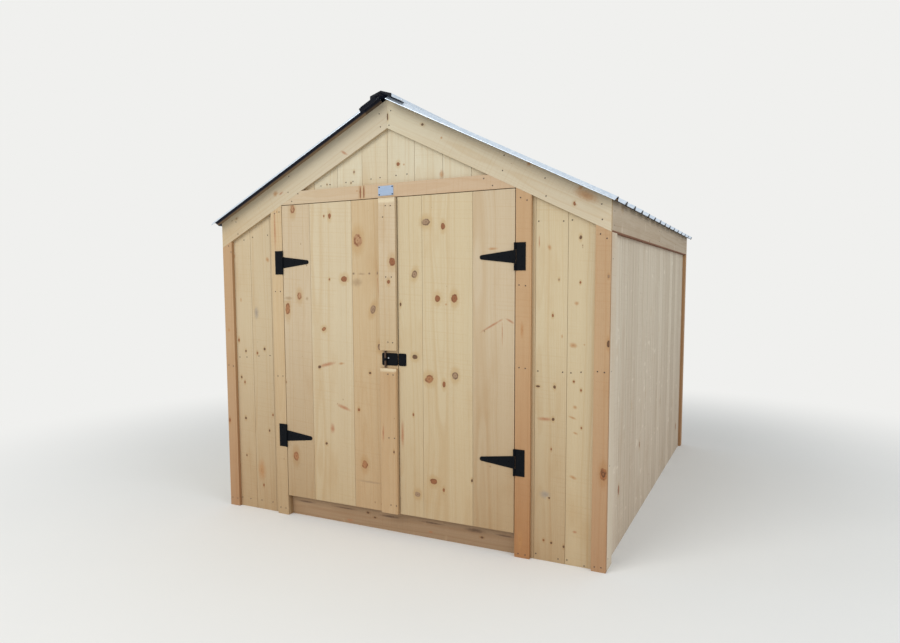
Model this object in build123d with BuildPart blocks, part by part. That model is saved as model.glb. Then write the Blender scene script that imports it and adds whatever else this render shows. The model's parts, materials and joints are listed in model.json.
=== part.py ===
from build123d import *
import os
from math import atan, cos, sin

# A board-clad storage shed with a ribbed metal gable roof and a pair of outward opening doors.
# Millimetres, +Z up, origin on the ground at the middle of the plan, doors facing -Y.

# Building
frame_width = 2438.0  # across the wall posts
frame_length = 3048.0  # front to back of the wall posts
eave_height = 1887.0  # top of the rake boards at the outer face of the trim
roof_rise_share = 0.5  # rise over run

# Timber
stud_thickness = 38.0
stud_depth = 89.0
siding_thickness = 22.0
trim_thickness = 22.0
corner_board_width = 76.0
front_side_board_width = 140.0  # the front corner boards on the side walls
door_trim_width = 85.0
rake_depth = 140.0
head_trim_height = 78.0
joint_gap = 2.0  # open joint between lengths of board

# Floor
joist_depth = 140.0
joist_count = 9
deck_thickness = 19.0

# Wall frame
girt_height = 990.0  # underside of the mid-height girts
girt_depth = 89.0
bay_count = 3  # bays between the studs of the side and back walls
rafter_seat = 64.0  # level bearing of a rafter on its plate

# Roof frame
rafter_depth = 89.0
rafter_pairs = 7
purlin_width = 89.0
purlin_thickness = 19.0
purlins_per_side = 4
ridge_board_thickness = 19.0
ridge_board_depth = 140.0

# Roof covering
gable_overhang = 66.0
eave_overhang = 28.0
sheet_thickness = 3.0
rib_pitch = 228.6
rib_height = 19.0
rib_base = 64.0
rib_top = 22.0
ridge_slot = 30.0  # from the ridge line to the upper edge of a sheet, along the slope
cap_width = 270.0
cap_vent_width = 140.0
cap_step = 18.0
cap_flange = 3.0
cap_rise_share = 0.32  # rise over run of the top of the vent

# Doors
doorway_width = 1540.0
door_lift = 132.0  # ground to the foot of the doors
door_gap = 4.0
door_stop_lap = 12.0  # how far the door posts show inside the doorway
leaf_thickness = 19.0
ledge_thickness = 19.0
ledge_width = 140.0
ledge_inset = 45.0
meeting_place = 56.0  # edge of the left leaf, from the middle of the doorway
meeting_gap = 5.0
astragal_width = 109.0
astragal_thickness = 22.0

# Door hardware
hinge_low = 523.0
hinge_high = 1622.0
hinge_metal = 3.0
strap_length = 200.0
strap_width = 70.0
strap_tip_radius = 12.0
hinge_plate_height = 146.0
hinge_plate_width = 58.0
barrel_radius = 5.5
barrel_clearance = 0.5
pin_radius = 3.0
end_knuckle = 37.0
knuckle_gap = 1.0
latch_height = 1048.0
latch_plate_height = 72.0
latch_reach = 105.0  # keeper plate, from the meeting edge
hasp_reach = 50.0
latch_metal = 4.0
latch_corner_radius = 8.0
latch_room = 16.0  # between the latch plate and the ends of the astragal
peg_radius = 6.0
peg_length = 97.0
peg_inset = 79.0  # from the meeting edge
peg_play = 0.4
staple_metal = 4.0
staple_height = 14.0

# Planes and lines that the pieces share
frame_x = frame_width / 2
frame_y = frame_length / 2
wall_x = frame_x + siding_thickness
wall_y = frame_y + siding_thickness
trim_x = wall_x + trim_thickness
trim_y = wall_y + trim_thickness
pitch = atan(roof_rise_share)
rake_drop = rake_depth / cos(pitch)
purlin_drop = purlin_thickness / cos(pitch)
rafter_drop = purlin_drop + rafter_depth / cos(pitch)
deck_top = joist_depth + deck_thickness
doorway_x = doorway_width / 2


def roof_z(x):
    return eave_height + (trim_x - x) * roof_rise_share


def rake_z(x):
    return roof_z(x) - rake_drop


def rafter_z(x):
    return roof_z(x) - rafter_drop


fascia_foot = rake_z(trim_x)
doorway_top = rake_z(doorway_x)
plate_top = rafter_z(frame_x - rafter_seat)
plate_foot = plate_top - stud_thickness
roof_length = 2 * (trim_y + gable_overhang)

os.makedirs("parts", exist_ok=True)


# A square-cut length of timber between two corners
def bar(x_ends, y_ends, z_ends):
    with Locations((x_ends[0], y_ends[0], z_ends[0])):
        Box(
            x_ends[1] - x_ends[0],
            y_ends[1] - y_ends[0],
            z_ends[1] - z_ends[0],
            align=(Align.MIN, Align.MIN, Align.MIN),
        )


# A board with a shaped outline seen from the front, between two depths
def shaped_board(outline, y_ends):
    with BuildSketch(Plane.XZ.offset(-y_ends[0])) as face:
        with BuildLine():
            Polyline(*outline, close=True)
        make_face()
    extrude(face.sketch, amount=y_ends[0] - y_ends[1])


def save(piece, name):
    piece.part.label = name
    export_step(piece.part, f"parts/{name}.step")


# Floor
with BuildPart() as floor_rims:
    for rim_y in (-frame_y, frame_y - stud_thickness):
        bar((-frame_x, frame_x), (rim_y, rim_y + stud_thickness), (0, joist_depth))
save(floor_rims, "floor_rims")

joist_pitch = (frame_width - stud_thickness) / (joist_count - 1)
joist_y = frame_y - stud_thickness
with BuildPart() as floor_joists:
    for joist in range(joist_count):
        joist_x = -frame_x + joist * joist_pitch
        bar((joist_x, joist_x + stud_thickness), (-joist_y, joist_y), (0, joist_depth))
save(floor_joists, "floor_joists")

with BuildPart() as floor_deck:
    bar((-frame_x, frame_x), (-frame_y, frame_y), (joist_depth, deck_top))
save(floor_deck, "floor_deck")

# Board cladding
side_wall_outline = [
    (frame_x, 0),
    (wall_x, 0),
    (wall_x, roof_z(wall_x)),
    (frame_x, roof_z(frame_x)),
]
with BuildPart() as right_wall:
    shaped_board(side_wall_outline, (-frame_y, frame_y))
save(right_wall, "right_wall")

with BuildPart() as left_wall:
    mirror(right_wall.part, about=Plane.YZ)
save(left_wall, "left_wall")

front_bay_outline = [
    (doorway_x, 0),
    (wall_x, 0),
    (wall_x, roof_z(wall_x)),
    (doorway_x, roof_z(doorway_x)),
]
with BuildPart() as front_wall_right:
    shaped_board(front_bay_outline, (-wall_y, -frame_y))
save(front_wall_right, "front_wall_right")

with BuildPart() as front_wall_left:
    mirror(front_wall_right.part, about=Plane.YZ)
save(front_wall_left, "front_wall_left")

gable_outline = [
    (-doorway_x, doorway_top),
    (doorway_x, doorway_top),
    (doorway_x, roof_z(doorway_x)),
    (0, roof_z(0)),
    (-doorway_x, roof_z(doorway_x)),
]
with BuildPart() as front_gable:
    shaped_board(gable_outline, (-wall_y, -frame_y))
save(front_gable, "front_gable")

back_outline = [
    (-wall_x, 0),
    (wall_x, 0),
    (wall_x, roof_z(wall_x)),
    (0, roof_z(0)),
    (-wall_x, roof_z(wall_x)),
]
with BuildPart() as back_wall:
    shaped_board(back_outline, (frame_y, wall_y))
save(back_wall, "back_wall")

# Corner boards, a wide one on the gable wall that covers the edge of one on the side wall
corner_x = trim_x - corner_board_width
corner_outline = [
    (corner_x, 0),
    (trim_x, 0),
    (trim_x, rake_z(trim_x)),
    (corner_x, rake_z(corner_x)),
]
front_side_ends = (-wall_y + joint_gap, -trim_y + front_side_board_width)
back_side_ends = (trim_y - corner_board_width, wall_y - joint_gap)
with BuildPart() as front_right_corner_boards:
    shaped_board(corner_outline, (-trim_y, -wall_y))
    bar((wall_x, trim_x), front_side_ends, (0, fascia_foot))
save(front_right_corner_boards, "front_right_corner_boards")

with BuildPart() as front_left_corner_boards:
    mirror(front_right_corner_boards.part, about=Plane.YZ)
save(front_left_corner_boards, "front_left_corner_boards")

with BuildPart() as back_right_corner_boards:
    shaped_board(corner_outline, (wall_y, trim_y))
    bar((wall_x, trim_x), back_side_ends, (0, fascia_foot))
save(back_right_corner_boards, "back_right_corner_boards")

with BuildPart() as back_left_corner_boards:
    mirror(back_right_corner_boards.part, about=Plane.YZ)
save(back_left_corner_boards, "back_left_corner_boards")

# Rake boards, which meet in a plumb joint under the ridge
rake_outline = [
    (0, rake_z(0)),
    (trim_x, rake_z(trim_x)),
    (trim_x, roof_z(trim_x)),
    (0, roof_z(0)),
]
with BuildPart() as front_right_rake_board:
    shaped_board(rake_outline, (-trim_y, -wall_y))
save(front_right_rake_board, "front_right_rake_board")

with BuildPart() as front_left_rake_board:
    mirror(front_right_rake_board.part, about=Plane.YZ)
save(front_left_rake_board, "front_left_rake_board")

with BuildPart() as back_right_rake_board:
    mirror(front_right_rake_board.part, about=Plane.XZ)
save(back_right_rake_board, "back_right_rake_board")

with BuildPart() as back_left_rake_board:
    mirror(front_left_rake_board.part, about=Plane.XZ)
save(back_left_rake_board, "back_left_rake_board")

# Fascias, each in two lengths under the edge of the roof
fascia_outline = [
    (wall_x, fascia_foot),
    (trim_x, fascia_foot),
    (trim_x, roof_z(trim_x)),
    (wall_x, roof_z(wall_x)),
]
with BuildPart() as right_fascia:
    shaped_board(fascia_outline, (-wall_y, -joint_gap / 2))
    shaped_board(fascia_outline, (joint_gap / 2, wall_y))
save(right_fascia, "right_fascia")

with BuildPart() as left_fascia:
    mirror(right_fascia.part, about=Plane.YZ)
save(left_fascia, "left_fascia")

# Trim round the doorway; the head board runs out to a point under the rakes
head_top = doorway_top + head_trim_height
head_top_x = doorway_x - head_trim_height / roof_rise_share
head_outline = [
    (-doorway_x, doorway_top),
    (doorway_x, doorway_top),
    (head_top_x, head_top),
    (-head_top_x, head_top),
]
with BuildPart() as door_head_trim:
    shaped_board(head_outline, (-trim_y, -wall_y))
save(door_head_trim, "door_head_trim")

door_trim_x = doorway_x + door_trim_width
door_trim_outline = [
    (doorway_x, 0),
    (door_trim_x, 0),
    (door_trim_x, rake_z(door_trim_x)),
    (doorway_x, rake_z(doorway_x)),
]
with BuildPart() as door_side_trims:
    shaped_board(door_trim_outline, (-trim_y, -wall_y))
    mirror(about=Plane.YZ)
save(door_side_trims, "door_side_trims")

# Posts, studs and girts inside the cladding
post_x = frame_x - stud_depth
post_y = frame_y - stud_depth
with BuildPart() as corner_posts:
    bar((post_x, frame_x), (-frame_y, -post_y), (deck_top, plate_foot))
    mirror(about=Plane.YZ)
    mirror(about=Plane.XZ)
save(corner_posts, "corner_posts")

door_post_inner = doorway_x - door_stop_lap
door_post_outer = door_post_inner + stud_thickness
door_post_outline = [
    (door_post_inner, deck_top),
    (door_post_outer, deck_top),
    (door_post_outer, rafter_z(door_post_outer)),
    (door_post_inner, rafter_z(door_post_inner)),
]
with BuildPart() as door_posts:
    shaped_board(door_post_outline, (-frame_y, -post_y))
    mirror(about=Plane.YZ)
save(door_posts, "door_posts")

lintel_foot = doorway_top - door_stop_lap
with BuildPart() as door_lintel:
    bar(
        (-door_post_inner, door_post_inner),
        (-frame_y, -post_y),
        (lintel_foot, lintel_foot + stud_thickness),
    )
save(door_lintel, "door_lintel")

side_bay = (2 * post_y - (bay_count - 1) * stud_thickness) / bay_count
back_bay = (2 * post_x - (bay_count - 1) * stud_thickness) / bay_count
with BuildPart() as wall_studs:
    for bay in range(1, bay_count):
        stud_y = -post_y + bay * side_bay + (bay - 1) * stud_thickness
        stud_x = -post_x + bay * back_bay + (bay - 1) * stud_thickness
        for side_x in (-frame_x, post_x):
            bar((side_x, side_x + stud_depth), (stud_y, stud_y + stud_thickness), (deck_top, plate_foot))
        bar((stud_x, stud_x + stud_thickness), (post_y, frame_y), (deck_top, plate_foot))
save(wall_studs, "wall_studs")

girt_x = frame_x - stud_thickness
girt_y = frame_y - stud_thickness
girt_ends = (girt_height, girt_height + girt_depth)
with BuildPart() as wall_girts:
    for bay in range(bay_count):
        bay_y = -post_y + bay * (side_bay + stud_thickness)
        bay_x = -post_x + bay * (back_bay + stud_thickness)
        for side_x in (-frame_x, girt_x):
            bar((side_x, side_x + stud_thickness), (bay_y, bay_y + side_bay), girt_ends)
        bar((bay_x, bay_x + back_bay), (girt_y, frame_y), girt_ends)
    bar((door_post_outer, post_x), (-frame_y, -girt_y), girt_ends)
    bar((-post_x, -door_post_outer), (-frame_y, -girt_y), girt_ends)
save(wall_girts, "wall_girts")

with BuildPart() as top_plates:
    bar((post_x, frame_x), (-frame_y, frame_y), (plate_foot, plate_top))
    mirror(about=Plane.YZ)
save(top_plates, "top_plates")

with BuildPart() as wall_ties:
    bar((-post_x, post_x), (post_y, frame_y), (plate_foot, plate_top))
    bar((door_post_outer, post_x), (-frame_y, -post_y), (plate_foot, plate_top))
    bar((-post_x, -door_post_outer), (-frame_y, -post_y), (plate_foot, plate_top))
save(wall_ties, "wall_ties")

# Roof frame
ridge_x = ridge_board_thickness / 2
rafter_outline = [
    (ridge_x, roof_z(ridge_x) - purlin_drop),
    (frame_x, roof_z(frame_x) - purlin_drop),
    (frame_x, plate_top),
    (frame_x - rafter_seat, plate_top),
    (ridge_x, rafter_z(ridge_x)),
]
rafter_pitch = (frame_length - stud_thickness) / (rafter_pairs - 1)
with BuildPart() as rafters:
    for pair in range(rafter_pairs):
        rafter_y = -frame_y + pair * rafter_pitch
        shaped_board(rafter_outline, (rafter_y, rafter_y + stud_thickness))
    mirror(about=Plane.YZ)
save(rafters, "rafters")

ridge_top = roof_z(ridge_x) - purlin_drop
with BuildPart() as ridge_board:
    bar((-ridge_x, ridge_x), (-frame_y, frame_y), (ridge_top - ridge_board_depth, ridge_top))
save(ridge_board, "ridge_board")

# The right-hand slope: local X runs down the roof, local Z is square to it
down_slope = (cos(pitch), 0, -sin(pitch))
off_slope = (sin(pitch), 0, cos(pitch))
ridge_point = (0, 0, roof_z(0))
right_slope = Plane(origin=ridge_point, x_dir=down_slope, z_dir=off_slope)
first_purlin = ridge_slot + purlin_width / 2
last_purlin = frame_x / cos(pitch) - purlin_width / 2
purlin_pitch = (last_purlin - first_purlin) / (purlins_per_side - 1)
with BuildPart(right_slope) as purlins:
    for purlin in range(purlins_per_side):
        with Locations((first_purlin + purlin * purlin_pitch, 0, 0)):
            Box(
                purlin_width,
                frame_length,
                purlin_thickness,
                align=(Align.CENTER, Align.CENTER, Align.MAX),
            )
    mirror(about=Plane.YZ)
save(purlins, "purlins")

# Ribbed roof sheets, drawn as the section seen from the ridge and run down the slope
rib_count = int((roof_length - rib_base) // rib_pitch) + 1
rib_places = [(rib - (rib_count - 1) / 2) * rib_pitch for rib in range(rib_count)]
section_top = [(-roof_length / 2, sheet_thickness)]
for rib_y in rib_places:
    section_top += [
        (rib_y - rib_base / 2, sheet_thickness),
        (rib_y - rib_top / 2, sheet_thickness + rib_height),
        (rib_y + rib_top / 2, sheet_thickness + rib_height),
        (rib_y + rib_base / 2, sheet_thickness),
    ]
section_top.append((roof_length / 2, sheet_thickness))
section_under = [(y, height - sheet_thickness) for y, height in reversed(section_top)]
sheet_run = (trim_x + eave_overhang) / cos(pitch) - ridge_slot
sheet_plane = Plane(
    origin=right_slope.from_local_coords((ridge_slot, 0, 0)),
    x_dir=(0, 1, 0),
    z_dir=down_slope,
)
with BuildPart() as right_roof_sheet:
    with BuildSketch(sheet_plane):
        with BuildLine():
            Polyline(*section_top, *section_under, close=True)
        make_face()
    extrude(amount=sheet_run)
save(right_roof_sheet, "right_roof_sheet")

with BuildPart() as left_roof_sheet:
    mirror(right_roof_sheet.part, about=Plane.YZ)
save(left_roof_sheet, "left_roof_sheet")

# Ridge cap, a filled strip on the ribs with a flange on each slope and a raised vent along its middle
cap_seat = roof_z(0) + (sheet_thickness + rib_height) / cos(pitch)
cap_skin = cap_flange / cos(pitch)
cap_x = cap_width / 2
vent_x = cap_vent_width / 2


def cap_z(x):
    return cap_seat - x * roof_rise_share


vent_foot = cap_z(vent_x) + cap_skin
vent_top = vent_foot + cap_step
cap_outline = [
    (0, cap_z(0)),
    (cap_x, cap_z(cap_x)),
    (cap_x, cap_z(cap_x) + cap_skin),
    (vent_x, vent_foot),
    (vent_x, vent_top),
    (0, vent_top + vent_x * cap_rise_share),
]
with BuildPart() as ridge_cap:
    shaped_board(cap_outline, (-roof_length / 2, roof_length / 2))
    mirror(about=Plane.YZ)
save(ridge_cap, "ridge_cap")

# Door leaves, flush with the trim
leaf_front = -trim_y
leaf_back = leaf_front + leaf_thickness
ledge_back = leaf_back + ledge_thickness
left_leaf_x = (-doorway_x + door_gap, meeting_place)
right_leaf_x = (meeting_place + meeting_gap, doorway_x - door_gap)
leaf_z = (door_lift, doorway_top - door_gap)
with BuildPart() as left_door_boards:
    bar(left_leaf_x, (leaf_front, leaf_back), leaf_z)
save(left_door_boards, "left_door_boards")

with BuildPart() as right_door_boards:
    bar(right_leaf_x, (leaf_front, leaf_back), leaf_z)
save(right_door_boards, "right_door_boards")

ledge_middles = [hinge_low, (hinge_low + hinge_high) / 2, hinge_high]


# Ledges across the back of a leaf at the hinges and between them, with a brace in each panel
def leaf_braces(hinge_side_x, meeting_x):
    ends = sorted((hinge_side_x, meeting_x))
    lean = ledge_width if meeting_x > hinge_side_x else -ledge_width
    for middle in ledge_middles:
        ledge_ends = (middle - ledge_width / 2, middle + ledge_width / 2)
        bar(ends, (leaf_back, ledge_back), ledge_ends)
    for below, above in zip(ledge_middles, ledge_middles[1:]):
        brace_foot = below + ledge_width / 2 + joint_gap
        brace_head = above - ledge_width / 2 - joint_gap
        brace_outline = [
            (hinge_side_x, brace_foot),
            (hinge_side_x + lean, brace_foot),
            (meeting_x, brace_head),
            (meeting_x - lean, brace_head),
        ]
        shaped_board(brace_outline, (leaf_back, ledge_back))


with BuildPart() as left_door_braces:
    leaf_braces(left_leaf_x[0] + ledge_inset, left_leaf_x[1] - ledge_inset)
save(left_door_braces, "left_door_braces")

with BuildPart() as right_door_braces:
    leaf_braces(right_leaf_x[1] - ledge_inset, right_leaf_x[0] + ledge_inset)
save(right_door_braces, "right_door_braces")

# Cover strip along the meeting edge of the left leaf, in two lengths that leave room for the latch
astragal_x = (meeting_place - astragal_width, meeting_place)
astragal_y = (leaf_front - astragal_thickness, leaf_front)
latch_half = latch_plate_height / 2
with BuildPart() as door_astragal:
    bar(astragal_x, astragal_y, (leaf_z[0], latch_height - latch_half - latch_room))
    bar(astragal_x, astragal_y, (latch_height + latch_half + latch_room, leaf_z[1]))
save(door_astragal, "door_astragal")

# T-hinges, a tapered strap on each leaf that turns on a pin held by a plate on the trim
hinge_heights = (hinge_low, hinge_high)
hinge_x = doorway_x - door_gap / 2
hinge_y = leaf_front - barrel_radius - barrel_clearance
leaf_face = Plane.XZ.offset(-leaf_front)
tip_x = hinge_x - strap_length + strap_tip_radius
with BuildPart() as right_hinge_straps:
    with BuildSketch(leaf_face):
        for hinge_z in hinge_heights:
            with BuildLine():
                Polyline(
                    (hinge_x, hinge_z - strap_width / 2),
                    (tip_x, hinge_z - strap_tip_radius),
                    (tip_x, hinge_z + strap_tip_radius),
                    (hinge_x, hinge_z + strap_width / 2),
                    close=True,
                )
            make_face()
            with Locations((tip_x, hinge_z)):
                Circle(strap_tip_radius)
    extrude(amount=hinge_metal)
    with Locations(*[(hinge_x, hinge_y, hinge_z) for hinge_z in hinge_heights]):
        Cylinder(barrel_radius, strap_width)
        Cylinder(pin_radius + barrel_clearance, strap_width, mode=Mode.SUBTRACT)
save(right_hinge_straps, "right_hinge_straps")

with BuildPart() as left_hinge_straps:
    mirror(right_hinge_straps.part, about=Plane.YZ)
save(left_hinge_straps, "left_hinge_straps")

plate_x = hinge_x + barrel_radius + knuckle_gap
plate_edge = hinge_x + hinge_plate_width
barrel_length = strap_width + 2 * (knuckle_gap + end_knuckle)
knuckle_offset = (strap_width + end_knuckle) / 2 + knuckle_gap
with BuildPart() as hinge_plates:
    for hinge_z in hinge_heights:
        plate_z = (hinge_z - hinge_plate_height / 2, hinge_z + hinge_plate_height / 2)
        bar((plate_x, plate_edge), (leaf_front - hinge_metal, leaf_front), plate_z)
        for knuckle_z in (hinge_z - knuckle_offset, hinge_z + knuckle_offset):
            knuckle_ends = (knuckle_z - end_knuckle / 2, knuckle_z + end_knuckle / 2)
            bar((hinge_x, plate_x), (leaf_front - hinge_metal, leaf_front), knuckle_ends)
            with Locations((hinge_x, hinge_y, knuckle_z)):
                Cylinder(barrel_radius, end_knuckle)
        with Locations((hinge_x, hinge_y, hinge_z)):
            Cylinder(pin_radius, barrel_length)
    mirror(about=Plane.YZ)
save(hinge_plates, "hinge_plates")

# Latch: a keeper with a staple and a wooden peg on the left leaf, a hasp plate on the right leaf
keeper_x = meeting_place - latch_reach
peg_x = meeting_place - peg_inset
staple_inner = peg_radius + peg_play
staple_outer = staple_inner + staple_metal
peg_y = leaf_front - latch_metal - staple_inner
with BuildPart() as latch_keeper:
    with BuildSketch(leaf_face):
        with Locations(((keeper_x + meeting_place) / 2, latch_height)):
            RectangleRounded(latch_reach, latch_plate_height, latch_corner_radius)
    extrude(amount=latch_metal)
    with BuildSketch(Plane.XY.offset(latch_height - staple_height / 2)):
        with Locations((peg_x, peg_y)):
            Circle(staple_outer)
        with Locations((peg_x, (peg_y + leaf_front) / 2)):
            Rectangle(2 * staple_outer, leaf_front - peg_y)
        with Locations((peg_x, peg_y)):
            Circle(staple_inner, mode=Mode.SUBTRACT)
    extrude(amount=staple_height)
save(latch_keeper, "latch_keeper")

with BuildPart() as latch_peg:
    with Locations((peg_x, peg_y, latch_height)):
        Cylinder(peg_radius, peg_length)
    chamfer(latch_peg.edges().filter_by(GeomType.CIRCLE), peg_play)
save(latch_peg, "latch_peg")

hasp_x = meeting_place + meeting_gap
with BuildPart() as latch_hasp:
    with BuildSketch(leaf_face):
        with Locations((hasp_x + hasp_reach / 2, latch_height)):
            RectangleRounded(hasp_reach, latch_plate_height, latch_corner_radius)
    extrude(amount=latch_metal)
save(latch_hasp, "latch_hasp")
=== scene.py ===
import json
import math
import random

import bmesh
import bpy
from mathutils import Matrix, Vector

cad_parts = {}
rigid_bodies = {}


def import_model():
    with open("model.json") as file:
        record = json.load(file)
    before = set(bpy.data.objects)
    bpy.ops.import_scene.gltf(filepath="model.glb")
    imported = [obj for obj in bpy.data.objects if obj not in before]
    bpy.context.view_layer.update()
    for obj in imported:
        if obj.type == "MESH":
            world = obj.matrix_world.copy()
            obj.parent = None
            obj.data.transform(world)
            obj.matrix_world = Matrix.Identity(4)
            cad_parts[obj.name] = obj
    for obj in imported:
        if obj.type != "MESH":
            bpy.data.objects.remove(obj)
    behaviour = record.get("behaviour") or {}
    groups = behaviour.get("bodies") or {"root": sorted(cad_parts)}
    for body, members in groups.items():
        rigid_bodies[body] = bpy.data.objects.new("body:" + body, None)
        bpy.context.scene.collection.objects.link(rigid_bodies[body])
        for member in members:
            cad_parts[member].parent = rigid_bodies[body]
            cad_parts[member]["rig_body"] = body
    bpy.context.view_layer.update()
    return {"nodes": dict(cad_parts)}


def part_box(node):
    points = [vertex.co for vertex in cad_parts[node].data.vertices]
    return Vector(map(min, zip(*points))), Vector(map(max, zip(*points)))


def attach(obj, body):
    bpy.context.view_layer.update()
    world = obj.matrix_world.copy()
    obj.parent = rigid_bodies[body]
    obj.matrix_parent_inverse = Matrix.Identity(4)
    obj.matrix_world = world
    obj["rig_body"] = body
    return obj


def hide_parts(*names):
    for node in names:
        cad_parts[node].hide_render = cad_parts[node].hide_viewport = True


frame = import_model()
nodes = frame["nodes"]
print("frame loaded with", len(nodes), "pieces")

# directions, planes and lines that several pieces share
upward = Vector((0, 0, 1))
rightward = Vector((1, 0, 0))
frontward = Vector((0, -1, 0))
backward = Vector((0, 1, 0))
quarterTurn = math.pi / 2
squareOn = 0.7       # a face looks along an axis when the cosine is above this
boardFall = 0.011    # how far the roof falls over the thickness of a board
roofSlope = 0.5
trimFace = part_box("door_head_trim")[0].y
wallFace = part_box("front_gable")[0].y
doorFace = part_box("left_door_boards")[0].y
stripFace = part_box("door_astragal")[0].y
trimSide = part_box("right_fascia")[1].x
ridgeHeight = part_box("front_right_rake_board")[1].z
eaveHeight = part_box("right_fascia")[1].z - boardFall


def linkObject(name, data):
    item = bpy.data.objects.new(name, data)
    bpy.context.scene.collection.objects.link(item)
    return item


# a finished bmesh becomes an object with one material
def keepSolid(name, solid, material):
    mesh = bpy.data.meshes.new(name)
    solid.to_mesh(mesh)
    solid.free()
    mesh.materials.append(material)
    return linkObject(name, mesh)


def setPiece(piece, body, slot, *replaced):
    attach(piece, body)
    if replaced:
        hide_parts(*replaced)


# camera
photoView = {
    "place": (1.9863, -4.9463, 1.4716),
    "yaw": 27.114,
    "pitch": -5.045,
    "roll": -0.37,
    "focalPixels": 675.4,
    "centrePixel": (428.81, 345.51),
    "imageSize": (900, 643),
    "sensorWidth": 36.0,
}


def viewAxes(view):
    yaw, pitch, roll = (math.radians(view[turn]) for turn in ("yaw", "pitch", "roll"))
    level = math.cos(pitch)
    forward = Vector((-math.sin(yaw) * level, math.cos(yaw) * level, math.sin(pitch)))
    flat = forward.cross(upward).normalized()
    upright = flat.cross(forward)
    right = flat * math.cos(roll) + upright * math.sin(roll)
    up = upright * math.cos(roll) - flat * math.sin(roll)
    return right, up, forward


# where the ray through a pixel of the photograph meets an upright plane
def castPixel(pixel, planeY):
    right, up, forward = viewAxes(photoView)
    place = Vector(photoView["place"])
    across = (pixel[0] - photoView["centrePixel"][0]) / photoView["focalPixels"]
    down = (pixel[1] - photoView["centrePixel"][1]) / photoView["focalPixels"]
    ray = forward + right * across - up * down
    return place + ray * ((planeY - place.y) / ray.y)


def makeCamera(view):
    width, height = view["imageSize"]
    data = bpy.data.cameras.new("photoCamera")
    data.sensor_width = view["sensorWidth"]
    data.lens = view["focalPixels"] * view["sensorWidth"] / width
    data.shift_x = (width / 2 - view["centrePixel"][0]) / width
    data.shift_y = (view["centrePixel"][1] - height / 2) / width
    right, up, forward = viewAxes(view)
    turn = Matrix((right, up, -forward)).transposed().to_4x4()
    camera = linkObject("photoCamera", data)
    camera.matrix_world = Matrix.Translation(view["place"]) @ turn
    bpy.context.scene.camera = camera


makeCamera(photoView)

# node helpers: new nodes and links go into the tree at hand
atHand = {}


def openTree(owner):
    owner.use_nodes = True
    atHand["tree"] = owner.node_tree
    owner.node_tree.nodes.clear()


# a socket is linked, anything else is set as a constant
def feed(socket, value):
    if isinstance(value, bpy.types.NodeSocket):
        atHand["tree"].links.new(value, socket)
    else:
        socket.default_value = value


def addNode(kind, inputs=None, **settings):
    node = atHand["tree"].nodes.new(kind)
    for name, value in settings.items():
        setattr(node, name, value)
    for name, value in (inputs or {}).items():
        feed(node.inputs[name], value)
    return node


def maths(operation, *values, clamp=False):
    node = addNode("ShaderNodeMath", dict(enumerate(values)), operation=operation, use_clamp=clamp)
    return node.outputs[0]


def times(first, second):
    return maths("MULTIPLY", first, second)


def timesPlus(first, second, third):
    return maths("MULTIPLY_ADD", first, second, third)


def minus(first, second):
    return maths("SUBTRACT", first, second)


def magnitude(value):
    return maths("ABSOLUTE", value)


def vectorMaths(operation, *values):
    outputs = addNode("ShaderNodeVectorMath", dict(enumerate(values)), operation=operation).outputs
    return outputs["Value"] if operation == "LENGTH" else outputs[0]


def joinAxes(x=0.0, y=0.0, z=0.0):
    return addNode("ShaderNodeCombineXYZ", {0: x, 1: y, 2: z}).outputs[0]


def splitAxes(vector):
    return addNode("ShaderNodeSeparateXYZ", {0: vector}).outputs


def ramp(value, low, high, bottom=0.0, top=1.0):
    inputs = dict(enumerate((value, low, high, bottom, top)))
    return addNode("ShaderNodeMapRange", inputs, interpolation_type="SMOOTHSTEP").outputs[0]


def mixColour(share, low, high, blend="MIX"):
    node = addNode("ShaderNodeMix", {0: share, 6: low, 7: high}, data_type="RGBA", blend_type=blend)
    return node.outputs[2]


def tint(colour, factor):
    return mixColour(1.0, colour, factor, "MULTIPLY")


# one scale, or a scale for each axis
def noise(vector, scale, detail, output=0):
    if isinstance(scale, tuple):
        vector = vectorMaths("MULTIPLY", vector, scale)
        scale = 1.0
    inputs = {"Vector": vector, "Scale": scale, "Detail": detail}
    return addNode("ShaderNodeTexNoise", inputs).outputs[output]


# noise along one line, for grain that follows the distance from the heart of the log
def lineNoise(value, detail):
    inputs = {"W": value, "Scale": 1.0, "Detail": detail}
    return addNode("ShaderNodeTexNoise", inputs, noise_dimensions="1D").outputs[0]


# the distance to the middle of the nearest cell, and three random values for each cell
def cellNoise(vector, scale):
    cells = addNode("ShaderNodeTexVoronoi", {"Vector": vector, "Scale": scale}).outputs
    return cells["Distance"], addNode("ShaderNodeSeparateColor", {0: cells["Color"]}).outputs


def attribute(name):
    return addNode("ShaderNodeAttribute", attribute_name=name).outputs


def objectPlace():
    return addNode("ShaderNodeTexCoord").outputs["Object"]


def newMaterial(name):
    material = bpy.data.materials.new(name)
    openTree(material)
    shader = addNode("ShaderNodeBsdfPrincipled")
    addNode("ShaderNodeOutputMaterial", {"Surface": shader.outputs[0]})
    return material, shader


def addBump(shader, height, strength, distance):
    bump = addNode("ShaderNodeBump", {"Strength": strength, "Distance": distance, "Height": height})
    feed(shader.inputs["Normal"], bump.outputs[0])


# a colour as it shows on a screen, turned into the linear value that Blender takes
def shade(*screen):
    channels = [channel / 255 for channel in screen]
    return (*[c / 12.92 if c <= 0.04045 else ((c + 0.055) / 1.055) ** 2.4 for c in channels], 1.0)


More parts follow.
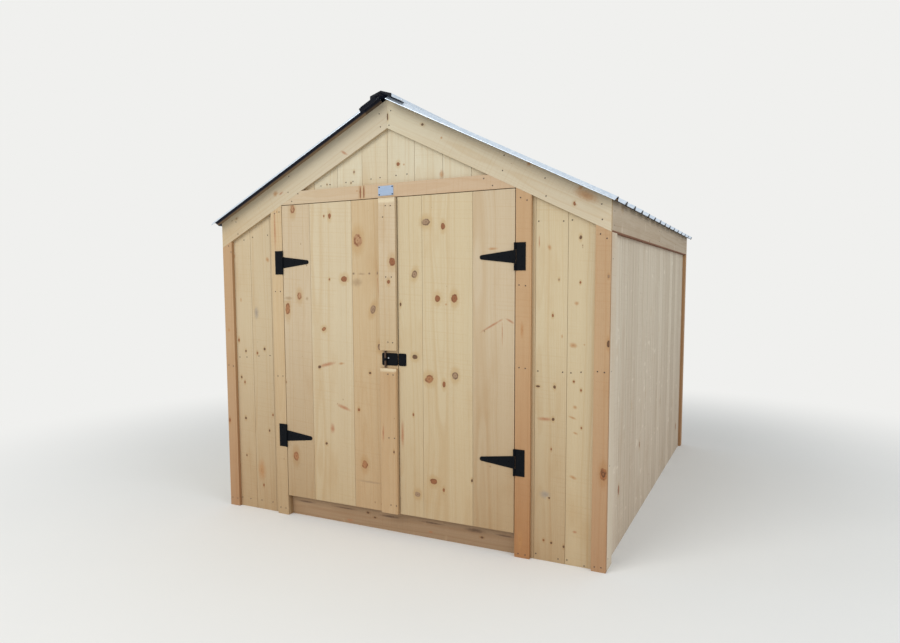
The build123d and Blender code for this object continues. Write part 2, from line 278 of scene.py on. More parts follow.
# stage
studio = {
    "floorRadius": 70.0,
    "floorTone": shade(233, 232, 229),
    "floorMottle": 0.97,
    "backdropTone": shade(240, 240, 238),
    "fadeFrom": 2.3,
    "fadeTo": 5.4,
    "skyTone": (0.93, 0.97, 1.0, 1.0),
    "skyLevel": 0.68,
    "keyTone": (1.0, 0.985, 0.95),
    "keyPlace": (-2.2, -7.8, 6.4),
    "keySize": 5.0,
    "keyPower": 325.0,
    "fillTone": (0.92, 0.96, 1.0),
    "fillPlace": (7.5, -3.5, 5.0),
    "fillSize": 5.0,
    "fillPower": 164.0,
    "aim": (0.0, 0.0, 1.1),
}


# 1 for rays of the kinds named
def raysOf(*kinds):
    path = addNode("ShaderNodeLightPath").outputs
    seen = path[kinds[0]]
    for kind in kinds[1:]:
        seen = maths("MAXIMUM", seen, path[kind])
    return seen


def blendShaders(share, first, second, output):
    blend = addNode("ShaderNodeMixShader", {0: share, 1: first.outputs[0], 2: second.outputs[0]})
    addNode(output, {"Surface": blend.outputs[0]})


def makeFloor(look):
    material = bpy.data.materials.new("paleFloor")
    openTree(material)
    place = objectPlace()
    away = ramp(vectorMaths("LENGTH", place), look["fadeFrom"], look["fadeTo"])
    dim = tuple(channel * look["floorMottle"] for channel in look["floorTone"])
    tone = mixColour(noise(place, 1.3, 4.0), dim, look["floorTone"])
    matte = addNode("ShaderNodeBsdfDiffuse", {"Color": tone})
    glow = addNode("ShaderNodeEmission", {"Color": look["backdropTone"]})
    share = times(away, raysOf("Is Camera Ray", "Is Glossy Ray"))
    blendShaders(share, matte, glow, "ShaderNodeOutputMaterial")
    disc = bmesh.new()
    bmesh.ops.create_circle(disc, cap_ends=True, segments=96, radius=look["floorRadius"])
    floor = keepSolid("floor", disc, material)


def makeWorld(look):
    world = bpy.data.worlds.new("studio")
    bpy.context.scene.world = world
    openTree(world)
    light = addNode("ShaderNodeBackground", {"Color": look["skyTone"], "Strength": look["skyLevel"]})
    backdrop = addNode("ShaderNodeBackground", {"Color": look["backdropTone"]})
    share = raysOf("Is Camera Ray", "Is Glossy Ray", "Is Transmission Ray")
    blendShaders(share, light, backdrop, "ShaderNodeOutputWorld")


def makeLamp(name, look):
    data = bpy.data.lights.new(name, "AREA")
    data.size = look[name + "Size"]
    data.energy = look[name + "Power"]
    data.color = look[name + "Tone"]
    place = Vector(look[name + "Place"])
    turn = (Vector(look["aim"]) - place).to_track_quat("-Z", "Y").to_matrix().to_4x4()
    linkObject(name, data).matrix_world = Matrix.Translation(place) @ turn


makeFloor(studio)
makeWorld(studio)
makeLamp("key", studio)
makeLamp("fill", studio)
bpy.context.scene.view_settings.view_transform = "Standard"
print("studio ready")

# pine
pineLook = {
    "ringPitch": 0.0055,
    "bandPitch": 0.042,
    "stripPitch": 0.024,
    "lateWood": (0.84, 0.70, 0.54, 1.0),
    "paleWood": (1.06, 1.07, 1.08, 1.0),
    "endGrainAndShadeTint": (0.72, 0.60, 0.47, 1.0),
    "chipWood": (1.2, 1.22, 1.25, 1.0),
    "knotHalo": (0.84, 0.70, 0.52, 1.0),
    "wildKnot": shade(140, 82, 48),
    "pinKnot": shade(126, 84, 56),
    "pinShare": 0.10,
    "ringShare": 0.18,
    "streakShare": 0.34,
    "stripShare": 0.3,
    "bandShare": 0.55,
    "blotchShare": 0.42,
    "fibreShare": 0.2,
    "sawShare": 0.22,
    "chipShare": 0.0,
    "shine": 0.28,
    "relief": 0.42,
    "reliefDepth": 0.0009,

    # how fine each pattern is; groups of three are across, into and along the board
    "wobbleScale": 75.0,
    "patchScale": 42.0,
    "driftScale": (4.0, 4.0, 0.9),
    "driftReach": (0.045, 0.045, 0.0),
    "streakScale": 95.0,
    "stripRun": 1.3,
    "fibreScale": (760.0, 760.0, 22.0),
    "blotchScale": (7.0, 7.0, 2.2),
    "planedScale": (4.0, 4.0, 1.7),
    "sawScale": 92.0,
    "sawSlant": 6.0,
    "chipScale": (8.5, 8.5, 14.0),
    "wildScale": (6.5, 0.0, 4.2),
    "wildSize": 0.035,
    "wildSpread": 0.085,
    "pinScale": (3.4, 1.0, 2.6),

    # shape of the knots
    "knotWave": 0.7,
    "wildWave": 0.6,
    "haloRun": 0.68,
    "pushFade": 4.0,
    "knotRings": 15.0,
    "ringWave": 9.0,
    "rimPlace": 1.06,
    "rimCore": 0.2,
}

# boards that have stood in the weather for longer, with pale torn spots
weatheredLook = {
    **pineLook,
    "bandPitch": 0.03,
    "stripPitch": 0.017,
    "lateWood": (0.76, 0.66, 0.56, 1.0),
    "paleWood": (1.11, 1.12, 1.14, 1.0),
    "streakShare": 0.5,
    "stripShare": 0.6,
    "bandShare": 0.8,
    "chipShare": 0.8,
}

# what a knot or mark looks like: heart and rim colours, how strong the rim is, and its width in radii
knotFields = ("heart", "rim", "rimShare", "rimWidth")
firmKinds = {
    "red": (shade(143, 88, 54), shade(106, 60, 36), 0.6, 0.24),
    "ring": (shade(180, 140, 104), shade(126, 78, 47), 0.9, 0.34),
    "brown": (shade(166, 115, 76), shade(112, 67, 39), 0.75, 0.26),
    "dark": (shade(104, 72, 50), shade(62, 42, 30), 0.7, 0.24),
    "grey": (shade(159, 130, 103), shade(94, 70, 53), 0.8, 0.26),
    "eye": (shade(88, 54, 34), shade(166, 108, 66), 0.9, 0.34),
    "scar": (shade(138, 90, 60), shade(120, 76, 50), 0.0, 0.2),
}
# marks without a firm outline
softKinds = {
    "amber": (shade(178, 130, 82), shade(152, 100, 60), 0.0, 0.2),
    # cut is a painted highlight where a sawn end catches the light
    "cut": (shade(224, 209, 178), shade(214, 196, 160), 0.0, 0.2),
    "branch": (shade(170, 112, 76), shade(150, 92, 60), 0.0, 0.2),
    "scuff": (shade(164, 138, 106), shade(150, 122, 92), 0.0, 0.2),
    # soil is dirt, and on the floor rims a painted shadow under the doors
    "soilAndShadow": (shade(96, 72, 56), shade(84, 62, 48), 0.0, 0.2),
    "stain": (shade(152, 140, 128), shade(132, 120, 108), 0.0, 0.2),
}
knotKinds = {name: dict(zip(knotFields, kind)) for name, kind in {**firmKinds, **softKinds}.items()}
kindNames = list(knotKinds)
firstSoftKind = len(firmKinds) + 1
farOff = 9.0    # knot radii, where a face has no knot


# one constant step of a colour ramp for each kind of knot
def kindColours(kind, field):
    steps = len(kindNames) + 1
    node = addNode("ShaderNodeValToRGB", {0: maths("DIVIDE", kind, steps)})
    node.color_ramp.interpolation = "CONSTANT"
    elements = node.color_ramp.elements
    for place, name in enumerate(kindNames):
        value = knotKinds[name][field]
        position = (place + 0.5) / steps
        element = elements[place] if place < 2 else elements.new(position)
        element.position = position
        element.color = value if isinstance(value, tuple) else (value, value, value, 1.0)
    return node.outputs[0]


# distance from the nearest listed knot in knot radii, with a wavy outline
def knotDistance(look, side, run, wobble, placed):
    reach = timesPlus(wobble, look["knotWave"], vectorMaths("LENGTH", joinAxes(side, run)))
    return timesPlus(minus(reach, farOff), placed, farOff)


# cells of which a share holds a spot: the distance from the spot, whether the cell holds one, and its size
def scatterSpots(vector, share):
    reach, picks = cellNoise(vector, 1.0)
    return reach, maths("LESS_THAN", picks[0], share), picks[1]


def makePine(name, look):
    material, shader = newMaterial(name)
    grain = attribute("grain")["Vector"]
    tone = attribute("tone")
    knot = attribute("knot")
    base = tone["Color"]
    kind = knot["Alpha"]
    side, run, halfWidth = splitAxes(knot["Vector"])
    placed = maths("GREATER_THAN", kind, 0.5)
    soft = maths("GREATER_THAN", kind, firstSoftKind - 0.5)
    firm = maths("SUBTRACT", placed, soft, clamp=True)
    wobble = minus(noise(grain, look["wobbleScale"], 3.0), 0.5)
    patchy = ramp(noise(grain, look["patchScale"], 2.0), 0.36, 0.62, 0.2, 1.0)
    reach = knotDistance(look, side, run, wobble, placed)
    haloReach = knotDistance(look, side, times(run, look["haloRun"]), wobble, placed)

    # grain lines part round a knot and wander slowly along the board
    fade = maths("DIVIDE", 1.0, maths("POWER", maths("MAXIMUM", reach, 1.0), look["pushFade"]))
    push = times(times(side, halfWidth), times(fade, firm))
    drift = vectorMaths("SUBTRACT", noise(grain, look["driftScale"], 2.0, 1), (0.5, 0.5, 0.5))
    moved = vectorMaths("MULTIPLY_ADD", drift, look["driftReach"], grain)
    across, depth, along = splitAxes(moved)
    lateral = minus(across, push)
    radius = vectorMaths("LENGTH", joinAxes(lateral, depth))

    # yearly rings, streaks, bands and the marks of the saw
    ring = maths("FRACT", maths("DIVIDE", radius, look["ringPitch"]))
    late = times(ramp(ring, 0.35, 0.85), ramp(ring, 1.0, 0.9))
    streak = lineNoise(times(radius, look["streakScale"]), 3.0)
    band = lineNoise(maths("DIVIDE", radius, look["bandPitch"]), 1.0)
    narrow = 1 / look["stripPitch"]
    strip = noise(joinAxes(lateral, depth, along), (narrow, narrow, look["stripRun"]), 3.0)
    fibre = noise(moved, look["fibreScale"], 3.0)
    blotch = noise(grain, look["blotchScale"], 3.0)
    planed = noise(grain, look["planedScale"], 2.0)
    saw = lineNoise(timesPlus(along, look["sawScale"], times(lateral, look["sawSlant"])), 3.0)
    sawn = times(ramp(saw, 0.48, 0.78), ramp(planed, 0.4, 0.6))
    lateTone = tint(base, look["lateWood"])
    colour = mixColour(times(late, look["ringShare"]), base, lateTone)

    # each pattern sets in between two values and takes up to its share
    for pattern, start, full, share, layer in (
        (streak, 0.48, 0.82, "streakShare", lateTone),
        (strip, 0.5, 0.8, "stripShare", lateTone),
        (band, 0.45, 0.75, "bandShare", tint(base, look["paleWood"])),
        (blotch, 0.52, 0.78, "blotchShare", lateTone),
        (fibre, 0.45, 0.75, "fibreShare", lateTone),
    ):
        colour = mixColour(ramp(pattern, start, full, 0.0, look[share]), colour, layer)
    colour = mixColour(times(sawn, look["sawShare"]), colour, lateTone)
    if look["chipShare"]:
        chip = noise(grain, look["chipScale"], 4.0)
        chipTone = tint(base, look["chipWood"])
        colour = mixColour(ramp(chip, 0.62, 0.74, 0.0, look["chipShare"]), colour, chipTone)

    # loose knots and pin knots on boards that have none listed
    spread = vectorMaths("MULTIPLY", moved, look["wildScale"])
    wildReach, chosen, size = scatterSpots(spread, tone["Alpha"])
    wildReach = maths("DIVIDE", wildReach, timesPlus(size, look["wildSpread"], look["wildSize"]))
    wildReach = timesPlus(wobble, look["wildWave"], wildReach)
    wildHalo = times(chosen, ramp(wildReach, 2.4, 1.0, 0.0, 0.55))
    wildHeart = times(chosen, ramp(wildReach, 1.12, 0.82, 0.0, 0.85))
    fromRim = magnitude(minus(wildReach, 0.9))
    wildRim = times(times(chosen, patchy), ramp(fromRim, 0.2, 0.03, 0.0, 0.6))
    haloTone = tint(base, look["knotHalo"])
    colour = mixColour(wildHalo, colour, haloTone)
    colour = mixColour(wildHeart, colour, look["wildKnot"])
    colour = mixColour(wildRim, colour, knotKinds["dark"]["rim"])
    fine = vectorMaths("MULTIPLY", spread, look["pinScale"])
    dotReach, dotted, _ = scatterSpots(fine, look["pinShare"])
    dotMask = times(dotted, ramp(dotReach, 0.085, 0.05, 0.0, 0.7))
    colour = mixColour(dotMask, colour, look["pinKnot"])

    # listed knots and marks
    halo = times(firm, ramp(haloReach, 2.2, 0.9, 0.0, 0.6))
    colour = mixColour(halo, colour, haloTone)
    rim = kindColours(kind, "rim")
    turns = maths("SINE", timesPlus(reach, look["knotRings"], times(wobble, look["ringWave"])))
    heart = mixColour(ramp(turns, -0.2, 1.0, 0.0, 0.28), kindColours(kind, "heart"), rim)
    heart = mixColour(ramp(reach, 0.34, 0.05, 0.0, 0.45), heart, rim)
    inside = times(firm, ramp(reach, 1.14, 0.8, 0.0, 0.94))
    smear = times(soft, ramp(reach, 1.3, 0.15, 0.0, 0.75))
    inside = maths("ADD", inside, smear)
    rimWidth = kindColours(kind, "rimWidth")
    fromRim = magnitude(minus(reach, minus(look["rimPlace"], rimWidth)))
    edge = ramp(fromRim, rimWidth, times(rimWidth, look["rimCore"]))
    edge = times(times(edge, firm), kindColours(kind, "rimShare"))
    colour = mixColour(inside, colour, heart)
    colour = mixColour(times(edge, patchy), colour, rim)

    # sawn ends are darker, and board edges take the same tint as painted shade
    endAndEdgeShadeTone = tint(colour, look["endGrainAndShadeTint"])
    colour = mixColour(attribute("endGrainAndEdgeShade")["Fac"], colour, endAndEdgeShadeTone)
    feed(shader.inputs["Base Color"], colour)
    roughness = minus(ramp(fibre, 0.2, 0.8, 0.56, 0.78), times(inside, 0.12))
    feed(shader.inputs["Roughness"], roughness)
    feed(shader.inputs["Specular IOR Level"], look["shine"])
    height = timesPlus(late, 0.25, times(fibre, 0.55))
    height = timesPlus(sawn, 0.45, height)
    height = timesPlus(inside, 0.5, height)
    addBump(shader, height, look["relief"], look["reliefDepth"])
    return material


pine = makePine("pine", pineLook)
weatheredPine = makePine("weatheredPine", weatheredLook)

# the tones that the boards of the photograph have, under plain light
woodTones = {
    "pale": shade(208, 198, 173), "cream": shade(205, 189, 159), "straw": shade(204, 187, 154),
    "tan": shade(198, 180, 149), "rose": shade(200, 181, 152), "honey": shade(198, 174, 138),
    "wheat": shade(192, 169, 134), "clay": shade(187, 157, 120), "drab": shade(177, 150, 115),
    "russet": shade(191, 157, 119), "rust": shade(184, 152, 117), "copper": shade(168, 120, 78),
    "blush": shade(198, 172, 142), "sienna": shade(172, 134, 100), "chalk": shade(207, 195, 175),
    "fawn": shade(202, 188, 167), "slate": shade(190, 176, 155), "linen": shade(200, 188, 164),
    "oat": shade(206, 192, 166), "mist": shade(198, 188, 171), "earth": shade(168, 139, 108),
    "umber": shade(158, 130, 101), "shadowBrown": shade(124, 79, 46),
}


def blendTones(low, high, share):
    return tuple(a + (b - a) * share for a, b in zip(low, high))


# timber
timberLook = {
    "edgeRound": 0.0009,
    "roundSteps": 2,
    "sharpAngle": 0.3,
    "seam": 0.0013,        # each board gives up half of this at its face
    "knotCell": 0.022,     # faces round a knot are this wide
    "knotReach": 3.3,      # a halo ends within this many knot radii
    "footShare": 0.62,     # part of a board's length over which its foot tone gives way to its top tone
    "edgeCosine": 0.5,     # faces turned further from the front than this are edges
    "faceCosine": 0.9,     # faces turned less than this can carry a knot
    "shades": (0.6, 1.0),  # how much of the end tone an edge takes as painted shade, and how much a sawn end takes
    "shadeLipFade": 0.003,
    "flatAngle": 0.01,
    "mergeGap": 0.00003,
    "cutMargin": 1e-6,
}

# how the heart of the log lies from a board, in metres, and how light the board is
boardDice = {
    "heartAcross": (-0.13, 0.13),
    "heartDepth": (-0.16, -0.05),
    "lean": (-0.022, 0.022),
    "shift": (-40.0, 40.0),
    "light": (0.975, 1.025),
}


# the solid of a CAD node with its triangles merged into whole faces
def copySolid(nodeName):
    solid = bmesh.new()
    solid.from_mesh(nodes[nodeName].data)
    bmesh.ops.remove_doubles(solid, verts=solid.verts[:], dist=timberLook["mergeGap"])
    bmesh.ops.dissolve_limit(
        solid, angle_limit=timberLook["flatAngle"], verts=solid.verts[:], edges=solid.edges[:]
    )
    return solid


# one solid for each loose length in a node
def separateLengths(solid):
    lengths = []
    waiting = set(solid.verts)
    while waiting:
        first = min(waiting, key=lambda vert: vert.index)
        found = {first}
        queue = [first]
        while queue:
            for edge in queue.pop().link_edges:
                for vert in edge.verts:
                    if vert not in found:
                        found.add(vert)
                        queue.append(vert)
        waiting -= found
        kept = {vert.index for vert in found}
        length = solid.copy()
        bmesh.ops.delete(length, geom=[v for v in length.verts if v.index not in kept], context="VERTS")
        lengths.append(length)
    solid.free()
    return lengths


def sawThrough(solid, point, normal, **settings):
    geometry = solid.verts[:] + solid.edges[:] + solid.faces[:]
    margin = timberLook["cutMargin"]
    bmesh.ops.bisect_plane(solid, geom=geometry, dist=margin, plane_co=point, plane_no=normal, **settings)


def cutAway(solid, point, normal):
    sawThrough(solid, point, normal, clear_outer=True)
    openEdges = [edge for edge in solid.edges if edge.is_boundary]
    bmesh.ops.holes_fill(solid, edges=openEdges, sides=0)


# a panel sawn into boards that touch at the back and leave a fine groove at the face
def splitAtSeams(panel, seams, across, outward):
    depths = [vert.co.dot(outward) for vert in panel.verts]
    thickness = max(depths) - min(depths)
    back = outward * min(depths)
    lean = outward * timberLook["seam"] / 2
    stops = [None, *seams, None]
    boards = []
    for low, high in zip(stops, stops[1:]):
        board = panel.copy()
        if low is not None:
            cutAway(board, across * low + back, (lean - across * thickness).normalized())
        if high is not None:
            cutAway(board, across * high + back, (lean + across * thickness).normalized())
        boards.append(board)
    panel.free()
    return boards


def roundEdges(solid):
    sharp = [edge for edge in solid.edges if edge.calc_face_angle(0.0) > timberLook["sharpAngle"]]
    bmesh.ops.bevel(
        solid, geom=sharp, offset=timberLook["edgeRound"], segments=timberLook["roundSteps"],
        profile=0.5, affect="EDGES", clamp_overlap=True,
    )


# faces small enough to carry one knot each
def divideForKnots(solid, along, across):
    step = timberLook["knotCell"]
    for axis in (along, across):
        places = [vert.co.dot(axis) for vert in solid.verts]
        count = int((max(places) - min(places)) / step)
        for cut in range(1, count + 1):
            sawThrough(solid, axis * (min(places) + cut * step), axis)


def longestEdge(solid):
    edge = max(solid.edges, key=lambda edge: edge.calc_length())
    run = (edge.verts[1].co - edge.verts[0].co).normalized()
    return -run if max(run, key=abs) < 0 else run


def widestFace(solid):
    return max(solid.faces, key=lambda face: face.calc_area()).normal.copy()


def newTimber():
    return {"points": [], "faces": [], "grain": [], "tone": [], "knot": [], "endGrainAndEdgeShade": []}


# where a point lies from a knot, in knot radii
def knotPlace(knot, point, along, across):
    away = point - knot["place"]
    side, run = away.dot(across), away.dot(along)
    cosine, sine = math.cos(knot["tilt"]), math.sin(knot["tilt"])
    return Vector((
        (side * cosine + run * sine) / knot["half"][0],
        (run * cosine - side * sine) / knot["half"][1],
    ))


# below 1 where a knot or its halo may touch the face with this middle
def knotGap(knot, middle, along, across):
    place = knotPlace(knot, middle, along, across)
    margin = timberLook["knotCell"] * math.sqrt(0.5)
    wide, tall = (half / (half * timberLook["knotReach"] + margin) for half in knot["half"])
    return math.hypot(place.x * wide, place.y * tall)


noKnot = (farOff, farOff, 0.02, 0.0)


# adds one board to a piece of timber, with its grain, tone and knots
def addBoard(timber, solid, dice, tones, along=None, outward=None, wild=0.0, knots=(),
             shades=timberLook["shades"], shadeLip=0.0):
    along = along or longestEdge(solid)
    outward = outward or widestFace(solid)
    across = along.cross(outward)
    roundEdges(solid)
    if knots:
        divideForKnots(solid, along, across)
    shadeLipTop = min(vert.co.z for vert in solid.verts) + shadeLip
    if shadeLip:
        for height in (shadeLipTop, shadeLipTop + timberLook["shadeLipFade"]):
            sawThrough(solid, upward * height, upward)
    solid.normal_update()
    corners = [vert.co for vert in solid.verts]
    middle = sum(corners, Vector()) / len(corners)
    runs = [corner.dot(along) for corner in corners]
    foot, top = min(runs), max(runs)
    heartAcross, heartDepth, lean, shift, light = (dice.uniform(*span) for span in boardDice.values())
    first = len(timber["points"])
    for corner, run in zip(corners, runs):
        local = corner - middle
        step = local.dot(along)
        timber["points"].append(corner.copy())
        timber["grain"].append((
            local.dot(across) - heartAcross - lean * step,
            local.dot(outward) - heartDepth,
            step + shift,
        ))
        share = min(1.0, (run - foot) / (top - foot) / timberLook["footShare"])
        colour = blendTones(*tones, share)
        # the lowest strip of a board with a lip is painted shadow, the dark line under a fascia
        if shadeLip and corner.z < shadeLipTop + timberLook["mergeGap"]:
            colour = woodTones["shadowBrown"]
        timber["tone"].append((*[channel * light for channel in colour[:3]], wild))
    solid.verts.index_update()
    for face in solid.faces:
        timber["faces"].append([first + vert.index for vert in face.verts])
        facing = face.normal.dot(outward)
        sawn = abs(face.normal.dot(along)) > squareOn
        edgeShade = shades[0] if facing < timberLook["edgeCosine"] else 0.0
        timber["endGrainAndEdgeShade"].append(shades[1] if sawn else edgeShade)
        nearest = None
        if knots and facing > timberLook["faceCosine"]:
            centre = face.calc_center_median()
            gap, index = min((knotGap(knot, centre, along, across), i) for i, knot in enumerate(knots))
            nearest = knots[index] if gap < 1.0 else None
        for vert in face.verts:
            if nearest is None:
                timber["knot"].append(noKnot)
            else:
                place = knotPlace(nearest, vert.co, along, across)
                timber["knot"].append((place.x, place.y, nearest["half"][0], nearest["kind"]))
    solid.free()


def finishMesh(name, timber, material):
    mesh = bpy.data.meshes.new(name)
    mesh.from_pydata(timber["points"], [], timber["faces"])
    layers = (
        ("grain", "FLOAT_VECTOR", "POINT", "vector"),
        ("tone", "FLOAT_COLOR", "POINT", "color"),
        ("knot", "FLOAT_COLOR", "CORNER", "color"),
        ("endGrainAndEdgeShade", "FLOAT", "FACE", "value"),
    )
    for layerName, kind, domain, field in layers:
        values = timber[layerName]
        flat = values if field == "value" else [number for value in values for number in value]
        mesh.attributes.new(layerName, kind, domain).data.foreach_set(field, flat)
    mesh.materials.append(material)
    mesh.update()
    return linkObject(name, mesh)


# boards and trim that face the camera: seams in metres from the middle of the shed, a foot and a top tone
# for each board, and knots by kind as pixel x and y in the photograph, mm across the grain, mm along it
# and, where it has one, a tilt in degrees
frontBoards = {
    "leftBayBoards": {
        "node": "front_wall_left", "slot": "siding", "seams": [-1.048, -0.884], "tones": [("drab", "tan")],
        "knots": {
            "amber": [(234, 256, 22, 34), (267.4, 259.7, 26, 40, 35), (241, 300, 14, 30),
                      (262, 470, 70, 150)],
            "red": [(239, 340, 14, 22), (245, 382, 12, 18), (257.4, 353, 14, 18), (273, 415, 12, 14),
                    (264, 485, 14, 18)],
            "dark": [(246, 351, 12, 16), (241.7, 377, 14, 16), (246, 418, 16, 18), (264.6, 349, 16, 18),
                     (269.6, 430.5, 12, 16), (247, 455, 12, 12)],
            "stain": [(256.5, 313, 40, 84)],
        },
    },
    "rightBayBoards": {
        "node": "front_wall_right", "slot": "siding", "seams": [0.873, 1.044],
        "tones": [("drab", "straw"), ("drab", "straw"), ("wheat", "straw")],
        "knots": {
            "amber": [(549.6, 247.5, 20, 34, 20), (562.1, 336.5, 10, 22), (576.7, 303.3, 27, 20, -15),
                      (573.3, 345.4, 44, 30, -12), (584.4, 344.8, 10, 10), (575, 407.3, 26, 20, -20),
                      (572.4, 417.8, 46, 12, -18), (575.5, 433.4, 30, 12, -20),
                      (572.9, 477.5, 42, 18, -22)],
            "red": [(552.8, 315.5, 11, 18), (551.2, 449.2, 8, 14), (543.6, 540.2, 11, 12),
                    (580.4, 282.6, 10, 13), (573.8, 381.6, 11, 11), (581, 390.5, 10, 13),
                    (581.3, 428, 9, 12)],
            "dark": [(538, 386.3, 22, 10), (554.6, 387, 14, 19), (553.2, 419.3, 16, 16),
                     (549.2, 497.9, 12, 12), (551.2, 542.9, 11, 12), (563.5, 546.7, 10, 14),
                     (580.7, 237.2, 14, 20), (577.4, 302.6, 10, 10)],
            "grey": [(559, 279.6, 9, 12)],
            "branch": [(539.4, 242, 8, 66), (545, 419, 84, 22), (574.6, 532, 26, 14)],
            "stain": [(545, 494.5, 60, 46)],
        },
    },
    "gableBoards": {
        "node": "front_gable", "slot": "siding",
        "seams": [-0.530, -0.358, -0.185, -0.012, 0.162, 0.338, 0.510],
        "tones": [("cream", "cream"), ("pale", "pale"), ("pale", "pale"), ("cream", "pale"),
                  ("pale", "pale"), ("pale", "pale"), ("pale", "pale"), ("pale", "cream")],
        "knots": {
            "red": [(398.1, 164.1, 22, 22)],
            "amber": [(403.9, 164.5, 14, 14), (441.7, 174.6, 30, 56)],
            "grey": [(354, 172, 12, 16)],
            "dark": [(327, 184.5, 9, 10), (351, 183, 9, 10)],
        },
    },
    "leftDoorBoards": {
        "node": "left_door_boards", "slot": "door_boards", "seams": [-0.5555, -0.2515], "shades": (0.0, 0.3),
        "tones": [("drab", "rose"), ("wheat", "cream"), ("clay", "honey")],
        "knots": {
            "ring": [(292.5, 209.5, 34, 54), (299.5, 296, 34, 46), (357.5, 240.2, 60, 74)],
            "brown": [(287.8, 308.6, 36, 74), (296.4, 456, 40, 62), (324, 329, 34, 22, 25),
                      (365, 464.5, 40, 50)],
            "red": [(286, 382, 12, 12), (329.4, 216, 20, 34), (323.8, 216.2, 10, 12), (344, 279, 46, 34),
                    (329.4, 279.3, 12, 13), (359, 409.7, 17, 18)],
            "dark": [(319.6, 366.8, 26, 18, 14), (326.6, 443.5, 18, 15, 30), (370.1, 373, 16, 14)],
            "grey": [(373, 309.4, 34, 52, -20), (380, 347, 30, 40)],
            "amber": [(341.5, 363.5, 46, 16, 6)],
            "branch": [(327, 364.6, 130, 26, 14), (344, 407.5, 110, 24, -18), (332.7, 428.3, 34, 66),
                       (377.6, 279, 5, 230, 3)],
            "scuff": [(288.5, 298.2, 66, 24), (307, 298.6, 22, 24), (361.4, 274, 56, 16),
                      (370, 482, 190, 16), (357, 282.5, 80, 54)],
            "soilAndShadow": [(353.4, 273.6, 18, 14), (369.3, 273.5, 18, 14), (377.3, 273.2, 10, 26)],
        },
    },
    "rightDoorBoards": {
        "node": "right_door_boards", "slot": "door_boards", "seams": [0.2176, 0.526], "shades": (0.0, 0.3),
        "tones": [("wheat", "straw"), ("wheat", "straw"), ("drab", "rose")],
        "knots": {
            "red": [(413.4, 414.7, 10, 18), (443, 226.2, 26, 36), (437.5, 298.6, 34, 38),
                    (454.4, 298.4, 38, 46), (444, 384.4, 20, 33), (433.8, 481.5, 46, 33),
                    (443.8, 490.1, 13, 22)],
            "brown": [(429.3, 379, 54, 44, 30)],
            "dark": [(400.5, 304.4, 12, 22), (415, 357, 36, 27), (472, 480.7, 12, 16),
                     (483.5, 331, 13, 13)],
            "grey": [(414.4, 274.3, 34, 42, -15), (417.6, 494.4, 36, 30), (425.7, 222, 52, 38),
                     (455.2, 375.8, 38, 42)],
            "amber": [(446, 304.5, 14, 14), (492.7, 248.8, 60, 16)],
            "branch": [(402.6, 434, 20, 170), (492, 325.5, 160, 13, 30), (510, 321, 60, 14, -30),
                       (502.3, 334, 5, 150)],
        },
    },
    "astragalStrips": {
        "node": "door_astragal", "slot": "trim", "shades": (0.15, 0.1),
        "tones": [("clay", "clay"), ("wheat", "rose")],
        "knots": {
            "red": [(392.1, 261.7, 42, 46), (388.5, 281.9, 20, 22)],
            "dark": [(394, 452, 10, 16)],
            # the cut marks are painted highlights on the lit ends of the two lengths
            "cut": [(386, 200.4, 190, 30), (389, 369.8, 190, 30)],
            "branch": [(383.3, 433, 14, 100)],
        },
    },
    "headerBoard": {
        "node": "door_head_trim", "slot": "trim", "along": rightward, "shades": (0.3, 0.8),
        "tones": [("rose", "blush")],
        "knots": {
            "scar": [(360.3, 192.5, 78, 11), (363.8, 192.3, 74, 10)],
            "amber": [(357, 191, 8, 20)],
        },
    },
    "doorSideTrims": {
        "node": "door_side_trims", "slot": "trim", "shades": (0.1, 1.0),
        "tones": [("drab", "honey"), ("copper", "russet")],
        "knots": {
            "amber": [(276.5, 212, 16, 18), (522, 330, 20, 90), (520, 540, 30, 120)],
            "branch": [(274.8, 230, 14, 300)],
        },
    },
    "floorRims": {
        "node": "floor_rims", "slot": "floor", "along": rightward, "finish": weatheredPine,
        "tones": [("earth", "umber")],
        "knots": {
            "dark": [(368, 512.6, 12, 18), (375, 517.5, 10, 16), (482, 537.5, 12, 18)],
            "branch": [(431, 532, 16, 30), (350, 520, 16, 60)],
            # the soil marks along the top of the rims are a painted shadow line under the door bottoms, with
            # dirt
            "soilAndShadow": [(306, 501.5, 14, 150), (345, 508, 10, 190), (390, 516.5, 16, 150),
                     (432, 523, 12, 170), (475, 530.5, 26, 130), (505, 536, 12, 120)],
        },
    },
    "frontRightCorner": {
        "node": "front_right_corner_boards", "slot": "trim", "tones": [("sienna", "rust"), ("fawn", "fawn")],
        "knots": {
            "eye": [(603.2, 474.4, 34, 62)],
            "dark": [(608.4, 344, 16, 34)],
            "grey": [(608.6, 276.3, 10, 16)],
        },
    },
    "frontLeftCorner": {
        "node": "front_left_corner_boards", "slot": "trim", "tones": [("sienna", "rust"), ("tan", "cream")],
        "knots": {"amber": [(229, 330, 20, 26)], "red": [(230, 420, 16, 24)]},
    },
    "frontRightRake": {
        "node": "front_right_rake_board", "slot": "trim", "tones": [("pale", "oat")],
        "knots": {
            "amber": [(580.4, 188.1, 26, 38, 30), (529.1, 163.7, 26, 30, 20), (441.4, 137.7, 14, 16),
                      (586, 195, 60, 150)],
            "red": [(574.6, 203.5, 20, 13, 40)],
            "dark": [(422.4, 124.5, 14, 16), (387.4, 117, 40, 10, 26)],
        },
    },
    "frontLeftRake": {
        "node": "front_left_rake_board", "slot": "trim", "tones": [("tan", "linen")],
        "knots": {
            "dark": [(336, 135.5, 18, 22)],
            "grey": [(236.5, 218.7, 12, 14)],
            "amber": [(275.5, 193.8, 34, 40)],
            "branch": [(344.1, 152.9, 60, 18, 35), (281, 193.4, 14, 40)],
        },
    },
}


